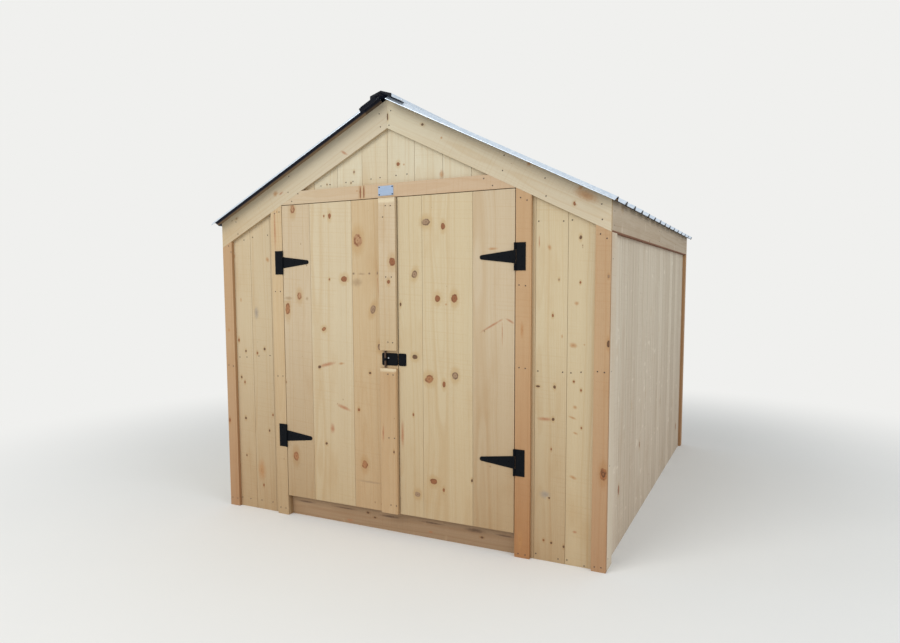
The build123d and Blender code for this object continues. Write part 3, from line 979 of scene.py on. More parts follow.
def readKnots(kinds, planeY):
    return [
        {
            "place": castPixel((x, y), planeY),
            "half": (width / 2000, height / 2000),
            "kind": kindNames.index(kind) + 1,
            "tilt": math.radians(tilt[0]) if tilt else 0.0,
        }
        for kind, rows in kinds.items() for x, y, width, height, *tilt in rows
    ]


# boards that face the front come first, from left to right and from the ground up
def boardOrder(board):
    middle = sum((vert.co for vert in board.verts), Vector()) / len(board.verts)
    return abs(widestFace(board).y) < squareOn, round(middle.x, 3), middle.z


# the knots that touch a board's front
def knotsOn(board, kinds):
    xs, ys, zs = ([vert.co[axis] for vert in board.verts] for axis in range(3))
    near = []
    for knot in readKnots(kinds, min(ys)):
        wide, tall = knot["half"]
        beside = min(xs) - wide < knot["place"].x < max(xs) + wide
        if beside and min(zs) - tall < knot["place"].z < max(zs) + tall:
            near.append(knot)
    return near


def dressFront(name, look):
    dice = random.Random(name)
    along = look.get("along")
    boards = separateLengths(copySolid(look["node"]))
    if "seams" in look:
        along = upward
        sawn = (splitAtSeams(panel, look["seams"], rightward, frontward) for panel in boards)
        boards = [board for row in sawn for board in row]
    timber = newTimber()
    for place, board in enumerate(sorted(boards, key=boardOrder)):
        tones = [woodTones[tone] for tone in look["tones"][place % len(look["tones"])]]
        faces = widestFace(board)
        toFront = abs(faces.y) > squareOn
        outward = frontward if toFront else Vector((math.copysign(1, faces.x), 0, 0))
        knots = knotsOn(board, look["knots"]) if toFront else ()
        shades = look.get("shades", timberLook["shades"])
        addBoard(timber, board, dice, tones, along, outward, knots=knots, shades=shades)
    piece = finishMesh(name, timber, look.get("finish", pine))
    setPiece(piece, nodes[look["node"]]["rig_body"], look["slot"], look["node"])


for name, look in frontBoards.items():
    dressFront(name, look)
print("front boards and trim dressed")

# timber that only shows from other sides or through the doorway, by slot: node, two tones that each length
# lies between, share of loose knots, finish, and the height of a dark painted shadow lip at the lower edge
plainTimber = {
    "floor": {"floorJoists": ("floor_joists", "tan", "drab")},
    "trim": {
        "backLeftCorner": ("back_left_corner_boards", "honey", "russet"),
        "backRightCorner": ("back_right_corner_boards", "russet", "sienna"),
        "backLeftRake": ("back_left_rake_board", "cream", "tan", 0.3),
        "backRightRake": ("back_right_rake_board", "cream", "straw", 0.3),
        "leftFascia": ("left_fascia", "tan", "cream", 0.3, weatheredPine, 0.007),
        "rightFascia": ("right_fascia", "mist", "slate", 0.5, weatheredPine, 0.007),
    },
    "framing": {
        "cornerPosts": ("corner_posts", "cream", "straw"),
        "doorPosts": ("door_posts", "straw", "tan"),
        "doorLintel": ("door_lintel", "straw", "tan"),
        "wallStuds": ("wall_studs", "cream", "tan"),
        "wallGirts": ("wall_girts", "straw", "honey"),
        "wallTies": ("wall_ties", "cream", "tan"),
        "topPlates": ("top_plates", "cream", "tan"),
        "rafterPairs": ("rafters", "cream", "honey"),
        "ridgeBoard": ("ridge_board", "straw", "tan"),
        "purlinRows": ("purlins", "cream", "honey"),
    },
    "door_boards": {
        "leftDoorBraces": ("left_door_braces", "straw", "tan", 0.25),
        "rightDoorBraces": ("right_door_braces", "cream", "honey", 0.25),
    },
}


def dressPlain(name, slot, node, low, high, wild=0.2, material=pine, shadeLip=0.0):
    dice = random.Random(name)
    timber = newTimber()
    for length in separateLengths(copySolid(node)):
        tones = [blendTones(woodTones[low], woodTones[high], dice.random()) for end in ("foot", "top")]
        addBoard(timber, length, dice, tones, wild=wild, shadeLip=shadeLip)
    piece = finishMesh(name, timber, material)
    setPiece(piece, nodes[node]["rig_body"], slot, node)


for slot, rows in plainTimber.items():
    for name, row in rows.items():
        dressPlain(name, slot, *row)
print("framing dressed")


# geometry nodes
def newTree(name, inputs):
    tree = bpy.data.node_groups.new(name, "GeometryNodeTree")
    tree.interface.new_socket("Geometry", in_out="INPUT", socket_type="NodeSocketGeometry")
    tree.interface.new_socket("Geometry", in_out="OUTPUT", socket_type="NodeSocketGeometry")
    for title, kind in inputs.items():
        tree.interface.new_socket(title, in_out="INPUT", socket_type="NodeSocket" + kind)
    atHand["tree"] = tree
    return tree, addNode("NodeGroupInput").outputs


def closeTree(geometry, material):
    finish = addNode("GeometryNodeSetMaterial", {"Geometry": geometry, "Material": material})
    addNode("NodeGroupOutput", {0: finish.outputs[0]})


def softenEdges(piece, width):
    bevel = piece.modifiers.new("edges", "BEVEL")
    bevel.width = width
    bevel.segments = 2
    bevel.limit_method = "ANGLE"


# runs a tree on an object and keeps the result as a plain mesh
def runTree(piece, tree, values, edgeRound=0.0):
    modifier = piece.modifiers.new(tree.name, "NODES")
    modifier.node_group = tree
    for item in tree.interface.items_tree:
        if item.in_out == "INPUT" and item.name in values:
            modifier[item.identifier] = values[item.name]
    if edgeRound:
        softenEdges(piece, edgeRound)
    depsgraph = bpy.context.evaluated_depsgraph_get()
    evaluated = piece.evaluated_get(depsgraph)
    mesh = bpy.data.meshes.new_from_object(evaluated, preserve_all_data_layers=True, depsgraph=depsgraph)
    piece.modifiers.clear()
    piece.data = mesh


# an object of loose points, each with the direction that it faces
def startPiece(name, spots=()):
    mesh = bpy.data.meshes.new(name)
    mesh.from_pydata([point for point, facing in spots], [], [])
    if spots:
        layer = mesh.attributes.new("facing", "FLOAT_VECTOR", "POINT")
        layer.data.foreach_set("vector", [number for point, facing in spots for number in facing])
    return linkObject(name, mesh)


# the socket of this name that the node's data type uses
def liveSocket(sockets, name):
    return [socket for socket in sockets if socket.name == name and socket.enabled][0]


def storeValue(geometry, name, kind, domain, value):
    inputs = {"Geometry": geometry, "Name": name}
    node = addNode("GeometryNodeStoreNamedAttribute", inputs, data_type=kind, domain=domain)
    feed(liveSocket(node.inputs, "Value"), value)
    return node.outputs[0]


def readValue(name, kind):
    node = addNode("GeometryNodeInputNamedAttribute", {"Name": name}, data_type=kind)
    return liveSocket(node.outputs, "Attribute")


# the first output of a node whose inputs are given by name, with an underscore for a space
def shapeNode(kind, **inputs):
    named = {name.replace("_", " "): value for name, value in inputs.items()}
    return addNode(kind, named).outputs[0]


def pointPlace():
    return addNode("GeometryNodeInputPosition").outputs[0]


rowLook = {
    "grainLow": (-0.12, -0.17, -30.0),
    "grainHigh": (0.12, 0.17, 30.0),
    "lean": 0.16,
    "footReach": 0.75,    # part of a board's length over which the foot shade fades
    "toneSeed": 7.0,
    "steps": 4,           # corners along a board
}


# a row of boards side by side along X, facing -Y, that may be cut to a gable at the top
def makeBoardRow(look):
    tree, given = newTree("boardRow", {
        "Count": "Int", "Pitch": "Float", "Seam": "Float", "Thickness": "Float", "Length": "Float",
        "Gable Height": "Float", "Gable Slope": "Float", "Light Tone": "Color", "Deep Tone": "Color",
        "Foot Shade": "Color", "Turn": "Vector", "Place": "Vector", "Seed": "Int", "Finish": "Material",
    })
    pitch, thickness, length = given["Pitch"], given["Thickness"], given["Length"]
    span = times(minus(given["Count"], 1.0), pitch)
    start = joinAxes(times(span, -0.5))
    step = joinAxes(pitch)
    line = shapeNode("GeometryNodeMeshLine", Count=given["Count"], Start_Location=start, Offset=step)
    size = joinAxes(pitch, thickness, length)
    block = shapeNode("GeometryNodeMeshCube", Size=size, Vertices_Z=look["steps"])
    half = joinAxes(0.0, times(thickness, 0.5), times(length, 0.5))
    stand = shapeNode("GeometryNodeTransform", Geometry=block, Translation=half)

    # the face of a board is narrower than its back
    spot = splitAxes(pointPlace())
    atFace = maths("LESS_THAN", spot[1], times(thickness, 0.5))
    slim = times(maths("SIGN", spot[0]), times(given["Seam"], -0.5))
    taper = shapeNode("GeometryNodeSetPosition", Geometry=stand, Offset=joinAxes(times(slim, atFace)))
    board = storeValue(taper, "local", "FLOAT_VECTOR", "POINT", pointPlace())
    normal = splitAxes(addNode("GeometryNodeInputNormal").outputs[0])
    sawn = maths("GREATER_THAN", magnitude(normal[2]), squareOn)
    board = storeValue(board, "endGrainAndEdgeShade", "FLOAT", "FACE", sawn)

    # each board has its own stretch of grain and its own tone
    rows = shapeNode("GeometryNodeInstanceOnPoints", Points=line, Instance=board)
    spread = {0: look["grainLow"], 1: look["grainHigh"], "Seed": given["Seed"]}
    shift = addNode("FunctionNodeRandomValue", spread, data_type="FLOAT_VECTOR")
    rows = storeValue(rows, "shift", "FLOAT_VECTOR", "INSTANCE", shift.outputs[0])
    toneSeed = maths("ADD", given["Seed"], look["toneSeed"])
    share = addNode("FunctionNodeRandomValue", {"Seed": toneSeed}, data_type="FLOAT")
    toneMix = mixColour(share.outputs[1], given["Light Tone"], given["Deep Tone"])
    rows = storeValue(rows, "tone", "FLOAT_COLOR", "INSTANCE", toneMix)
    boards = shapeNode("GeometryNodeRealizeInstances", Geometry=rows)
    body = readValue("local", "FLOAT_VECTOR")
    moved = readValue("shift", "FLOAT_VECTOR")
    height = splitAxes(body)[2]
    lean = times(height, times(splitAxes(moved)[0], look["lean"]))
    grain = vectorMaths("ADD", vectorMaths("ADD", body, moved), joinAxes(lean))
    boards = storeValue(boards, "grain", "FLOAT_VECTOR", "POINT", grain)
    boards = storeValue(boards, "knot", "FLOAT_COLOR", "CORNER", noKnot)
    risen = ramp(maths("DIVIDE", height, length), 0.0, look["footReach"])
    shaded = mixColour(risen, given["Foot Shade"], (1.0, 1.0, 1.0, 1.0))
    shaded = tint(readValue("tone", "FLOAT_COLOR"), shaded)
    boards = storeValue(boards, "tone", "FLOAT_COLOR", "POINT", shaded)

    # the gable cut
    x, y, z = splitAxes(pointPlace())
    fall = times(magnitude(x), given["Gable Slope"])
    limit = maths("MINIMUM", z, minus(given["Gable Height"], fall))
    cut = shapeNode("GeometryNodeSetPosition", Geometry=boards, Position=joinAxes(x, y, limit))
    turned = shapeNode(
        "GeometryNodeTransform", Geometry=cut, Rotation=given["Turn"], Translation=given["Place"]
    )
    closeTree(turned, given["Finish"])
    return tree


boardRow = makeBoardRow(rowLook)
deckLow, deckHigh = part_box("floor_deck")
sideLow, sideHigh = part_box("right_wall")
backLow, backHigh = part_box("back_wall")
backLength = backHigh.x - backLow.x
deckLength = deckHigh.y - deckLow.y
wildShare = 0.34
noGable = {"Gable Height": 9.0, "Gable Slope": 0.0}    # higher than any wall
sideRow = {
    **noGable, "slot": "siding", "Count": 18, "span": sideHigh.y - sideLow.y,
    "Thickness": sideHigh.x - sideLow.x, "Length": sideHigh.z - boardFall,
    "Seam": 0.006, "Foot Shade": (0.93, 0.88, 0.86, 1.0), "Finish": weatheredPine,
}

# rows of boards; names with a capital are inputs of the tree
boardRows = {
    "rightWallBoards": {
        **sideRow, "node": "right_wall", "tones": ("chalk", "slate"), "Seed": 11,
        "Turn": (0, 0, quarterTurn), "Place": (sideHigh.x, 0, 0),
    },
    "leftWallBoards": {
        **sideRow, "node": "left_wall", "tones": ("pale", "tan"), "Seed": 23,
        "Turn": (0, 0, -quarterTurn), "Place": (-sideHigh.x, 0, 0),
    },
    "backWallBoards": {
        "node": "back_wall", "slot": "siding", "tones": ("cream", "honey"), "Seed": 31,
        "Turn": (0, 0, 2 * quarterTurn), "Place": (0, backHigh.y, 0),
        "Gable Height": backHigh.z, "Gable Slope": roofSlope, "Count": 14, "span": backLength,
        "Thickness": backHigh.y - backLow.y, "Length": backHigh.z,
        "Seam": 0.003, "Foot Shade": (0.85, 0.78, 0.72, 1.0), "Finish": pine,
    },
    "deckBoards": {
        **noGable, "node": "floor_deck", "slot": "floor", "tones": ("straw", "drab"), "Seed": 47,
        "Turn": (-quarterTurn, 0, quarterTurn), "Place": (deckHigh.x, 0, deckHigh.z),
        "Count": 22, "span": deckLength,
        "Thickness": deckHigh.z - deckLow.z, "Length": deckHigh.x - deckLow.x,
        "Seam": 0.002, "Foot Shade": (1.0, 1.0, 1.0, 1.0), "Finish": pine,
    },
}


def layBoards(name, look):
    light, deep = ((*woodTones[tone][:3], wildShare) for tone in look["tones"])
    values = {**look, "Pitch": look["span"] / look["Count"], "Light Tone": light, "Deep Tone": deep}
    piece = startPiece(name)
    runTree(piece, boardRow, values, timberLook["edgeRound"])
    setPiece(piece, nodes[look["node"]]["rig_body"], look["slot"], look["node"])


for name, look in boardRows.items():
    layBoards(name, look)
print("wall and floor boards laid")

# metals
roofFinish = {
    "silver": (shade(200, 213, 228), shade(220, 230, 241)),
    "dull": shade(184, 198, 215),
    "backing": (shade(112, 117, 124), shade(138, 143, 150)),
    # painted shade on the underside: a brown band like shaded wood in bounce light, and a dark lip
    "woodShade": (shade(114, 92, 70), shade(142, 118, 90)),
    "shadeLip": (shade(22, 25, 38), shade(34, 38, 54)),
    "capEnd": (shade(8, 11, 19), shade(14, 18, 29)),
    "woodShadeDepth": 0.012,    # how far the brown painted shade of wood in bounce light reaches beyond the rake boards
    "capReach": 0.137,       # from the ridge to the edge of the cap, level
    "metallic": 0.75,
    "flakeScale": 90.0,
    "streakScale": (1.2, 26.0, 1.2),
    "cloudScale": 3.0,
    "speckleScale": 60.0,
    "relief": 0.12,
    "reliefDepth": 0.002,
}


def makeRoofMetal(name, look, cap):
    material, shader = newMaterial(name)
    place = objectPlace()
    _, glint = cellNoise(place, look["flakeScale"])
    streak = noise(place, look["streakScale"], 3.0)
    cloud = noise(place, look["cloudScale"], 3.0)
    speckle = noise(place, look["speckleScale"], 3.0)
    silver = mixColour(glint[0], *look["silver"])
    silver = mixColour(ramp(streak, 0.5, 0.8, 0.0, 0.35), silver, look["dull"])
    silver = mixColour(ramp(cloud, 0.5, 0.8, 0.0, 0.3), silver, look["silver"][1])

    # the underside has a grey back coat with painted shade on it: a brown band like shaded wood in warm
    # bounce light where it leaves the rake boards, and a dark lip further out and along the eave
    normal = splitAxes(addNode("ShaderNodeNewGeometry").outputs["True Normal"])
    painted = ramp(normal[2], -0.05, -0.3)
    x, y, z = splitAxes(place)
    beside = magnitude(x)
    beyondRake = maths("ADD", magnitude(y), trimFace)
    beyondEave = minus(beside, trimSide)
    lift = minus(timesPlus(beside, roofSlope, z), ridgeHeight)
    eaveShadeLip = times(ramp(beyondEave, 0.0, 0.004), ramp(lift, 0.004, 0.002))
    shadeLip = mixColour(speckle, *look["shadeLip"])
    woodShade = mixColour(speckle, *look["woodShade"])
    backing = mixColour(cloud, *look["backing"])
    backing = mixColour(ramp(beyondRake, -0.03, 0.0), backing, woodShade)
    edge = look["woodShadeDepth"]
    rakeShadeLip = ramp(beyondRake, edge - 0.005, edge + 0.003)
    backing = mixColour(maths("MAXIMUM", rakeShadeLip, eaveShadeLip), backing, shadeLip)

    # the ends of the cap are black, and so is the end of the left sheet under it
    ends = ramp(magnitude(normal[1]), 0.5, 0.8)
    if cap:
        backing = shadeLip
    else:
        underCap = ramp(x, -look["capReach"], 0.002 - look["capReach"])
        ends = times(ends, times(underCap, maths("LESS_THAN", x, 0.0)))
    colour = mixColour(painted, silver, backing)
    colour = mixColour(ends, colour, mixColour(cloud, *look["capEnd"]))
    painted = maths("MAXIMUM", painted, ends)
    feed(shader.inputs["Base Color"], colour)
    feed(shader.inputs["Metallic"], ramp(painted, 0.0, 1.0, look["metallic"], 0.0))
    feed(shader.inputs["Specular IOR Level"], ramp(painted, 0.0, 1.0, 0.5, 0.1))
    feed(shader.inputs["Roughness"], ramp(streak, 0.2, 0.8, 0.3, 0.44))
    addBump(shader, timesPlus(glint[1], 0.1, cloud), look["relief"], look["reliefDepth"])
    return material


# black paint, rubbed in places
paintLook = {
    "peelScale": 420.0,
    "cloudScale": 14.0,
    "rubTone": shade(33, 37, 44),
    "shine": 0.09,
    "relief": 0.18,
    "reliefDepth": 0.0006,
}


def makeBlackMetal(name, low, high, rough, look=paintLook):
    material, shader = newMaterial(name)
    place = objectPlace()
    peel = noise(place, look["peelScale"], 2.0)
    cloud = noise(place, look["cloudScale"], 3.0)
    colour = mixColour(cloud, low, high)
    rub = times(ramp(cloud, 0.62, 0.74), ramp(peel, 0.5, 0.7, 0.0, 0.5))
    feed(shader.inputs["Base Color"], mixColour(rub, colour, look["rubTone"]))
    feed(shader.inputs["Specular IOR Level"], look["shine"])
    feed(shader.inputs["Roughness"], ramp(cloud, 0.3, 0.7, rough - 0.06, rough + 0.08))
    addBump(shader, peel, look["relief"], look["reliefDepth"])
    return material


def makeBrightMetal(name, low, high, metallic, rough, stretch):
    material, shader = newMaterial(name)
    place = objectPlace()
    brushed = noise(place, stretch, 3.0)
    cloud = noise(place, 30.0, 2.0)
    colour = mixColour(brushed, low, high)
    feed(shader.inputs["Base Color"], mixColour(ramp(cloud, 0.5, 0.8, 0.0, 0.4), colour, low))
    feed(shader.inputs["Metallic"], metallic)
    feed(shader.inputs["Roughness"], ramp(brushed, 0.2, 0.8, rough, rough + 0.15))
    addBump(shader, brushed, 0.15, 0.0003)
    return material


pegLook = {"tones": (shade(52, 36, 25), shade(92, 66, 45)), "fibreScale": (900, 900, 40)}


def makePegWood(look):
    material, shader = newMaterial("pegWood")
    fibre = noise(objectPlace(), look["fibreScale"], 3.0)
    feed(shader.inputs["Base Color"], mixColour(fibre, *look["tones"]))
    feed(shader.inputs["Roughness"], ramp(fibre, 0.2, 0.8, 0.45, 0.65))
    addBump(shader, fibre, 0.3, 0.0004)
    return material


# bright metals: two tones, how metallic, how rough, and how the brushing is stretched
brightMetals = {
    "nailSteel": (shade(62, 54, 48), shade(96, 86, 78), 0.55, 0.4, (300, 300, 300)),
    "screwZinc": (shade(176, 182, 188), shade(214, 219, 224), 0.85, 0.28, (300, 300, 300)),
    "plateAlloy": (shade(138, 158, 186), shade(165, 182, 206), 0.2, 0.42, (20, 20, 900)),
}
roofMetal = makeRoofMetal("galvanisedSheet", roofFinish, False)
ridgeMetal = makeRoofMetal("galvanisedCap", roofFinish, True)
hardwareBlack = makeBlackMetal("hardwareBlack", shade(6, 8, 12), shade(13, 17, 23), 0.58)
capBlack = makeBlackMetal("capBlack", *roofFinish["capEnd"], 0.62)
nailSteel, screwZinc, plateAlloy = (makeBrightMetal(name, *look) for name, look in brightMetals.items())
pegWood = makePegWood(pegLook)
metalNodes = {
    "left_roof_sheet": (roofMetal, 0.0),
    "right_roof_sheet": (roofMetal, 0.0),
    "ridge_cap": (ridgeMetal, 0.0015),
    "hinge_plates": (hardwareBlack, 0.0006),
    "left_hinge_straps": (hardwareBlack, 0.0006),
    "right_hinge_straps": (hardwareBlack, 0.0006),
    "latch_keeper": (hardwareBlack, 0.0007),
    "latch_hasp": (hardwareBlack, 0.0007),
    "latch_peg": (pegWood, 0.0),
}

# the shaped CAD pieces stay, with a finish and softened edges
for nodeName, (material, edgeRound) in metalNodes.items():
    node = nodes[nodeName]
    node.data.materials.clear()
    node.data.materials.append(material)
    if edgeRound:
        weld = node.modifiers.new("weld", "WELD")
        weld.merge_threshold = timberLook["mergeGap"]
        softenEdges(node, edgeRound)
print("metal finished")

# nails and screws; a cross slot and a washer are measured in head sizes
headLook = {"slotLong": 1.15, "slotWide": 0.26, "slotLift": 1.1, "washerSides": 12, "washerDepth": 0.4}


# two crossed bars at the top of a head
def crossBars(radius, height, look):
    slots = addNode("GeometryNodeJoinGeometry")
    for lengthwise in (False, True):
        long = times(radius, look["slotLong"])
        slim = times(radius, look["slotWide"])
        sizes = (long, slim) if lengthwise else (slim, long)
        bar = shapeNode("GeometryNodeMeshCube", Size=joinAxes(*sizes, height))
        rise = joinAxes(0.0, 0.0, times(height, look["slotLift"]))
        feed(slots.inputs[0], shapeNode("GeometryNodeTransform", Geometry=bar, Translation=rise))
    return slots.outputs[0]


def makeFastener(name, crossed, look):
    tree, given = newTree(name, {
        "Head Radius": "Float", "Head Height": "Float", "Sides": "Int", "Crown Share": "Float",
        "Washer Radius": "Float", "Seed": "Int", "Finish": "Material",
    })
    radius, height = given["Head Radius"], given["Head Height"]
    solid = shapeNode(
        "GeometryNodeMeshCone", Vertices=given["Sides"], Radius_Bottom=radius, Depth=height,
        Radius_Top=times(radius, given["Crown Share"]),
    )
    if crossed:
        parts = {0: solid, 1: crossBars(radius, height, look)}
        solid = addNode("GeometryNodeMeshBoolean", parts, operation="DIFFERENCE").outputs[0]
    washer = shapeNode(
        "GeometryNodeMeshCylinder", Vertices=look["washerSides"], Radius=given["Washer Radius"],
        Depth=times(height, look["washerDepth"]),
    )
    both = addNode("GeometryNodeJoinGeometry")
    for part in (washer, solid):
        feed(both.inputs[0], part)

    # each head is turned at random about the way it faces
    spin = addNode("FunctionNodeRandomValue", {3: 2 * math.pi, "Seed": given["Seed"]}, data_type="FLOAT")
    own = addNode("FunctionNodeAxisAngleToRotation", {"Axis": upward, "Angle": spin.outputs[1]})
    facing = readValue("facing", "FLOAT_VECTOR")
    aim = addNode("FunctionNodeAlignRotationToVector", {"Vector": facing}, axis="Z")
    turns = {0: aim.outputs[0], 1: own.outputs[0]}
    turned = addNode("FunctionNodeRotateRotation", turns, rotation_space="LOCAL").outputs[0]
    heads = shapeNode(
        "GeometryNodeInstanceOnPoints", Points=given["Geometry"], Instance=both.outputs[0], Rotation=turned
    )
    closeTree(shapeNode("GeometryNodeRealizeInstances", Geometry=heads), given["Finish"])
    return tree


plainHead = makeFastener("plainHead", False, headLook)
crossHead = makeFastener("crossHead", True, headLook)
nailLook = {"Head Radius": 0.0037, "Head Height": 0.0022, "Sides": 10, "Crown Share": 0.7}
pinLook = {"Head Radius": 0.0026, "Head Height": 0.0016, "Sides": 8, "Crown Share": 0.7}
screwLook = {"Head Radius": 0.0042, "Head Height": 0.0026, "Sides": 12, "Crown Share": 0.62}
rivetLook = {"Head Radius": 0.0048, "Head Height": 0.003, "Sides": 14, "Crown Share": 0.55}
roofScrewLook = {
    "Head Radius": 0.0046, "Head Height": 0.009, "Sides": 6, "Crown Share": 0.9, "Washer Radius": 0.0085,
}


# spots are points with the direction that they face; a washer that isn't named hides under its head
def fixPieces(name, tree, look, spots, material, body, seed):
    hidden = look["Head Radius"] * 0.5
    piece = startPiece(name, spots)
    runTree(piece, tree, {"Washer Radius": hidden, **look, "Seed": seed, "Finish": material})
    setPiece(piece, body, "hardware")


# nails that show on the front, by pixel of the photograph
frontNails = {
    "wall": [
        (538.8, 221.2), (563.7, 221), (572.4, 220), (537.9, 371), (562.6, 372.2), (570.9, 372.9),
        (581, 372.2), (535.8, 553.4), (558, 559), (566.9, 560), (584, 566), (252.7, 237.3),
        (267.6, 235.1), (244, 240), (240, 357), (247, 357), (259, 356), (270, 355.5), (243, 497),
        (251, 498.5), (262, 500), (273, 502), (321, 186), (330, 184.6), (353, 181.5), (346, 182.5),
        (371, 179), (380, 177.6), (396, 175.5), (407, 174),
    ],
    "trim": [
        (275.5, 291.5), (280.5, 291.5), (278, 376), (283, 376), (281, 507), (286, 508), (274.5, 213.7),
        (279, 212), (520.6, 197.5), (527, 200), (519, 285), (525.5, 285.7), (519, 367.6), (525.2, 368.4),
        (518, 553.5), (525, 555), (600.5, 233.9), (607, 238.3), (597.4, 371.6), (604.4, 372.5),
        (594.3, 567), (600.9, 567.8), (601.7, 204), (602.3, 219.4), (504.1, 155.4), (502.5, 170.5),
        (483.7, 178.4), (492.5, 185.5), (390.7, 110.6), (389, 125.2), (379.1, 113.9), (380.4, 126.9),
        (288.8, 176.4), (288, 192.3), (297.9, 193.8), (291.7, 201.4), (228.5, 246), (231, 252),
        (229, 365), (233.5, 366), (233, 497), (238, 498), (236, 222), (238, 234), (545, 178), (546, 196),
    ],
    "strip": [
        (385.2, 205.6), (390.2, 205.6), (382.7, 217), (385.7, 277), (391.3, 277), (387.9, 342.1),
        (392.7, 342.7), (387.9, 374.2), (393, 375), (389, 437.8), (394.6, 438.3), (391, 505),
        (396.5, 506),
    ],
}


def castNails(plane, planeY):
    return [(castPixel(pixel, planeY), frontward) for pixel in frontNails[plane]]


# nails on the boards of the back wall and the deck, two to a board in each row
nailRows = {
    "heights": (0.07, 1.035),
    "inset": 0.032,
    "clearOfCorners": 1.17,    # boards further out are behind the corner boards
    "joists": 9,
    "joistHalf": 0.019,
}


def edgePlaces(row, start):
    pitch = boardRows[row]["span"] / boardRows[row]["Count"]
    for board in range(boardRows[row]["Count"]):
        middle = start + (board + 0.5) * pitch
        yield [middle + edge * (pitch / 2 - nailRows["inset"]) for edge in (-1, 1)]


def backNails():
    return [
        (Vector((x, backHigh.y, height)), backward)
        for pair in edgePlaces("backWallBoards", backLow.x) for height in nailRows["heights"] for x in pair
        if abs(x) < nailRows["clearOfCorners"]
    ]


def deckNails():
    joists, half = nailRows["joists"], nailRows["joistHalf"]
    width = deckHigh.x - deckLow.x - 2 * half
    places = [deckLow.x + half + joist * width / (joists - 1) for joist in range(joists)]
    return [
        (Vector((x, y, deckHigh.z)), upward)
        for pair in edgePlaces("deckBoards", deckLow.y) for x in places for y in pair
    ]


# nails on the corner boards, fascias and back rake boards
trimNailLook = {
    "heights": (0.06, 0.55, 1.035, 1.6),
    "sideInset": 0.028,
    "backInset": 0.038,
    "fasciaPlaces": (-1.5, -0.04, 0.04, 1.5),
    "fasciaDepth": 0.156,
    "fasciaRises": (0.035, 0.105),
    "rakeStart": 0.12,
    "rakeStep": 0.36,
    "rakeCount": 4,
    "rakeDrops": (0.035, 0.115),
}


def trimNails(look):
    spots = []
    for side in (-1, 1):
        sideways = Vector((side, 0, 0))
        for end in (-1, 1):
            for height in look["heights"]:
                y = end * (abs(wallFace) - look["sideInset"])
                spots.append((Vector((side * trimSide, y, height)), sideways))
                if end > 0:
                    x = side * (trimSide - look["backInset"])
                    spots.append((Vector((x, -trimFace, height)), backward))
        for y in look["fasciaPlaces"]:
            for rise in look["fasciaRises"]:
                z = eaveHeight - look["fasciaDepth"] + rise
                spots.append((Vector((side * trimSide, y, z)), sideways))
        for step in range(look["rakeCount"]):
            x = look["rakeStart"] + step * look["rakeStep"]
            for drop in look["rakeDrops"]:
                z = ridgeHeight - x * roofSlope - drop
                spots.append((Vector((side * x, -trimFace, z)), backward))
    return spots


shedNails = castNails("wall", wallFace) + castNails("trim", trimFace)
otherNails = backNails() + trimNails(trimNailLook)
stripNails = castNails("strip", stripFace)
fixPieces("frontNails", plainHead, nailLook, shedNails, nailSteel, "shed", 3)
fixPieces("wallNails", plainHead, pinLook, otherNails, nailSteel, "shed", 14)
fixPieces("deckNails", plainHead, nailLook, deckNails(), nailSteel, "shed", 4)
fixPieces("stripNails", plainHead, nailLook, stripNails, nailSteel, "left_door", 5)

# screws of the hinges and the latch
hingeLook = {
    "heights": (0.523, 1.622),
    "plateX": 0.805,
    "plateRises": (-0.052, 0.0, 0.052),
    "strapX": (0.735, 0.675, 0.615),
    "metal": 0.003,
}
latchLook = {"metal": 0.004, "inset": 0.013, "rivetPixel": (388.5, 358)}
hingeFace = doorFace - hingeLook["metal"]
latchFace = doorFace - latchLook["metal"]


def plateScrews(look):
    return [
        (Vector((side * look["plateX"], hingeFace, height + rise)), frontward)
        for side in (-1, 1) for height in look["heights"] for rise in look["plateRises"]
    ]


def strapScrews(look, side):
    return [
        (Vector((side * x, hingeFace, height)), frontward)
        for height in look["heights"] for x in look["strapX"]
    ]


# a screw in each corner of a rectangle on a face
def cornerScrews(low, high, face, inset):
    return [
        (Vector((x, face, z)), frontward)
        for x in (low.x + inset, high.x - inset) for z in (low.z + inset, high.z - inset)
    ]


keeperSpots = cornerScrews(*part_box("latch_keeper"), latchFace, latchLook["inset"])
haspSpots = cornerScrews(*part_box("latch_hasp"), latchFace, latchLook["inset"])
rivetSpots = [(castPixel(latchLook["rivetPixel"], latchFace), frontward)]
leftSpots, rightSpots = (strapScrews(hingeLook, side) for side in (-1, 1))
fixPieces("hingePlateScrews", crossHead, screwLook, plateScrews(hingeLook), hardwareBlack, "shed", 6)
fixPieces("leftStrapScrews", crossHead, screwLook, leftSpots, hardwareBlack, "left_door", 7)
fixPieces("rightStrapScrews", crossHead, screwLook, rightSpots, hardwareBlack, "right_door", 8)
fixPieces("latchRivet", plainHead, rivetLook, rivetSpots, screwZinc, "left_door", 15)
fixPieces("keeperScrews", crossHead, screwLook, keeperSpots, hardwareBlack, "left_door", 9)
fixPieces("haspScrews", crossHead, screwLook, haspSpots, hardwareBlack, "right_door", 10)

# roof screws stand on the flats beside the ribs, over each purlin, and along the ridge cap
roofLook = {
    "ribPitch": 0.2286,
    "ribs": 15,
    "beside": 0.05,
    "sheet": 0.003,
    "runs": (0.489, 0.904, 1.3185),
    "capRun": 0.115,
    "capLift": 0.025,
}


# a point on a roof slope by its distance from the ridge and its height over the tops of the rake boards
def slopePoint(side, run, y, lift):
    angle = math.atan(roofSlope)
    x = run * math.cos(angle) + lift * math.sin(angle)
    z = ridgeHeight - run * math.sin(angle) + lift * math.cos(angle)
    return Vector((side * x, y, z)), Vector((side * math.sin(angle), 0, math.cos(angle)))


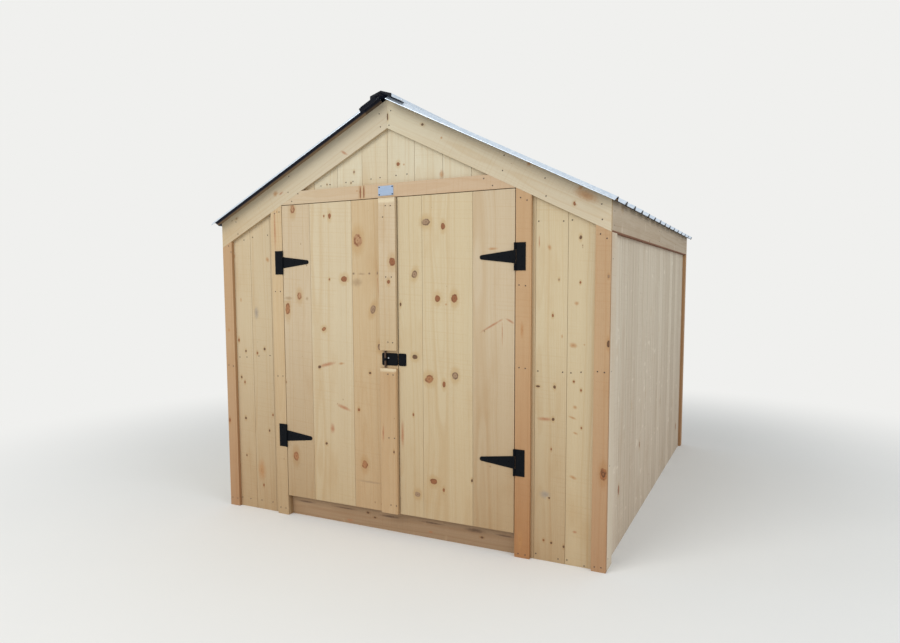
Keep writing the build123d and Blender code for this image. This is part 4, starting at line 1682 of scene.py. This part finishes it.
def roofScrews(look):
    spots = []
    for side in (-1, 1):
        for rib in range(look["ribs"]):
            y = (rib - (look["ribs"] - 1) / 2) * look["ribPitch"]
            spots.append(slopePoint(side, look["capRun"], y, look["capLift"]))
            for run in look["runs"] if rib < look["ribs"] - 1 else ():
                spots.append(slopePoint(side, run, y + look["beside"], look["sheet"]))
    return spots


# black closures fill the rib ends under the left flange of the ridge cap
closureLook = {
    "runs": (0.030, 0.151), "lifts": (0.003, 0.022), "end": 1.6338, "footDepth": 0.001, "headDepth": 0.0215,
}


def makeClosures(look):
    foot, head = look["lifts"]
    section = [(0.0, foot), (0.0, head), (look["headDepth"], head), (look["footDepth"], foot)]
    closure = bmesh.new()
    for gable in (-1, 1):
        rings = []
        for run in look["runs"]:
            points = [slopePoint(-1, run, gable * (look["end"] - depth), lift)[0] for depth, lift in section]
            rings.append([closure.verts.new(point) for point in points])
        for ring in rings:
            closure.faces.new(ring)
        for turn in range(len(section)):
            after = (turn + 1) % len(section)
            closure.faces.new((rings[0][turn], rings[0][after], rings[1][after], rings[1][turn]))
    bmesh.ops.recalc_face_normals(closure, faces=closure.faces[:])
    setPiece(keepSolid("ridgeClosures", closure, capBlack), "shed", "ridge_metal")


makeClosures(closureLook)
fixPieces("roofScrews", plainHead, roofScrewLook, roofScrews(roofLook), screwZinc, "shed", 12)
print("nails and screws set")

# bare plate on the header, between two pixels of the photograph
plateLook = {
    "corners": ((378.2, 186.3), (393.4, 195.0)),
    "thickness": 0.0016,
    "corner": 0.004,
    "cornerSteps": 4,
    "edge": 0.0005,
    "screwInset": 0.007,
}


def makePlate(look):
    topLeft, lowRight = (castPixel(pixel, trimFace) for pixel in look["corners"])
    low = Vector((topLeft.x, 0, lowRight.z))
    high = Vector((lowRight.x, 0, topLeft.z))
    inset = look["corner"]
    left, right = low.x + inset, high.x - inset
    foot, head = low.z + inset, high.z - inset
    outline = []
    for turn, (x, z) in enumerate(((right, head), (left, head), (left, foot), (right, foot))):
        for step in range(look["cornerSteps"] + 1):
            angle = (turn + step / look["cornerSteps"]) * quarterTurn
            outline.append((x + inset * math.cos(angle), trimFace, z + inset * math.sin(angle)))
    plate = bmesh.new()
    face = plate.faces.new([plate.verts.new(point) for point in outline])
    grown = bmesh.ops.extrude_face_region(plate, geom=[face])
    for vert in [part for part in grown["geom"] if isinstance(part, bmesh.types.BMVert)]:
        vert.co.y -= look["thickness"]
    bmesh.ops.recalc_face_normals(plate, faces=plate.faces[:])
    front = [edge for edge in plate.edges if all(vert.co.y < trimFace - look["edge"] for vert in edge.verts)]
    bmesh.ops.bevel(plate, geom=front, offset=look["edge"], segments=2, profile=0.5, affect="EDGES")
    setPiece(keepSolid("barePlate", plate, plateAlloy), "shed", "hardware")
    return cornerScrews(low, high, trimFace - look["thickness"], look["screwInset"])


fixPieces("plateScrews", crossHead, screwLook, makePlate(plateLook), hardwareBlack, "shed", 13)
print("plate set")
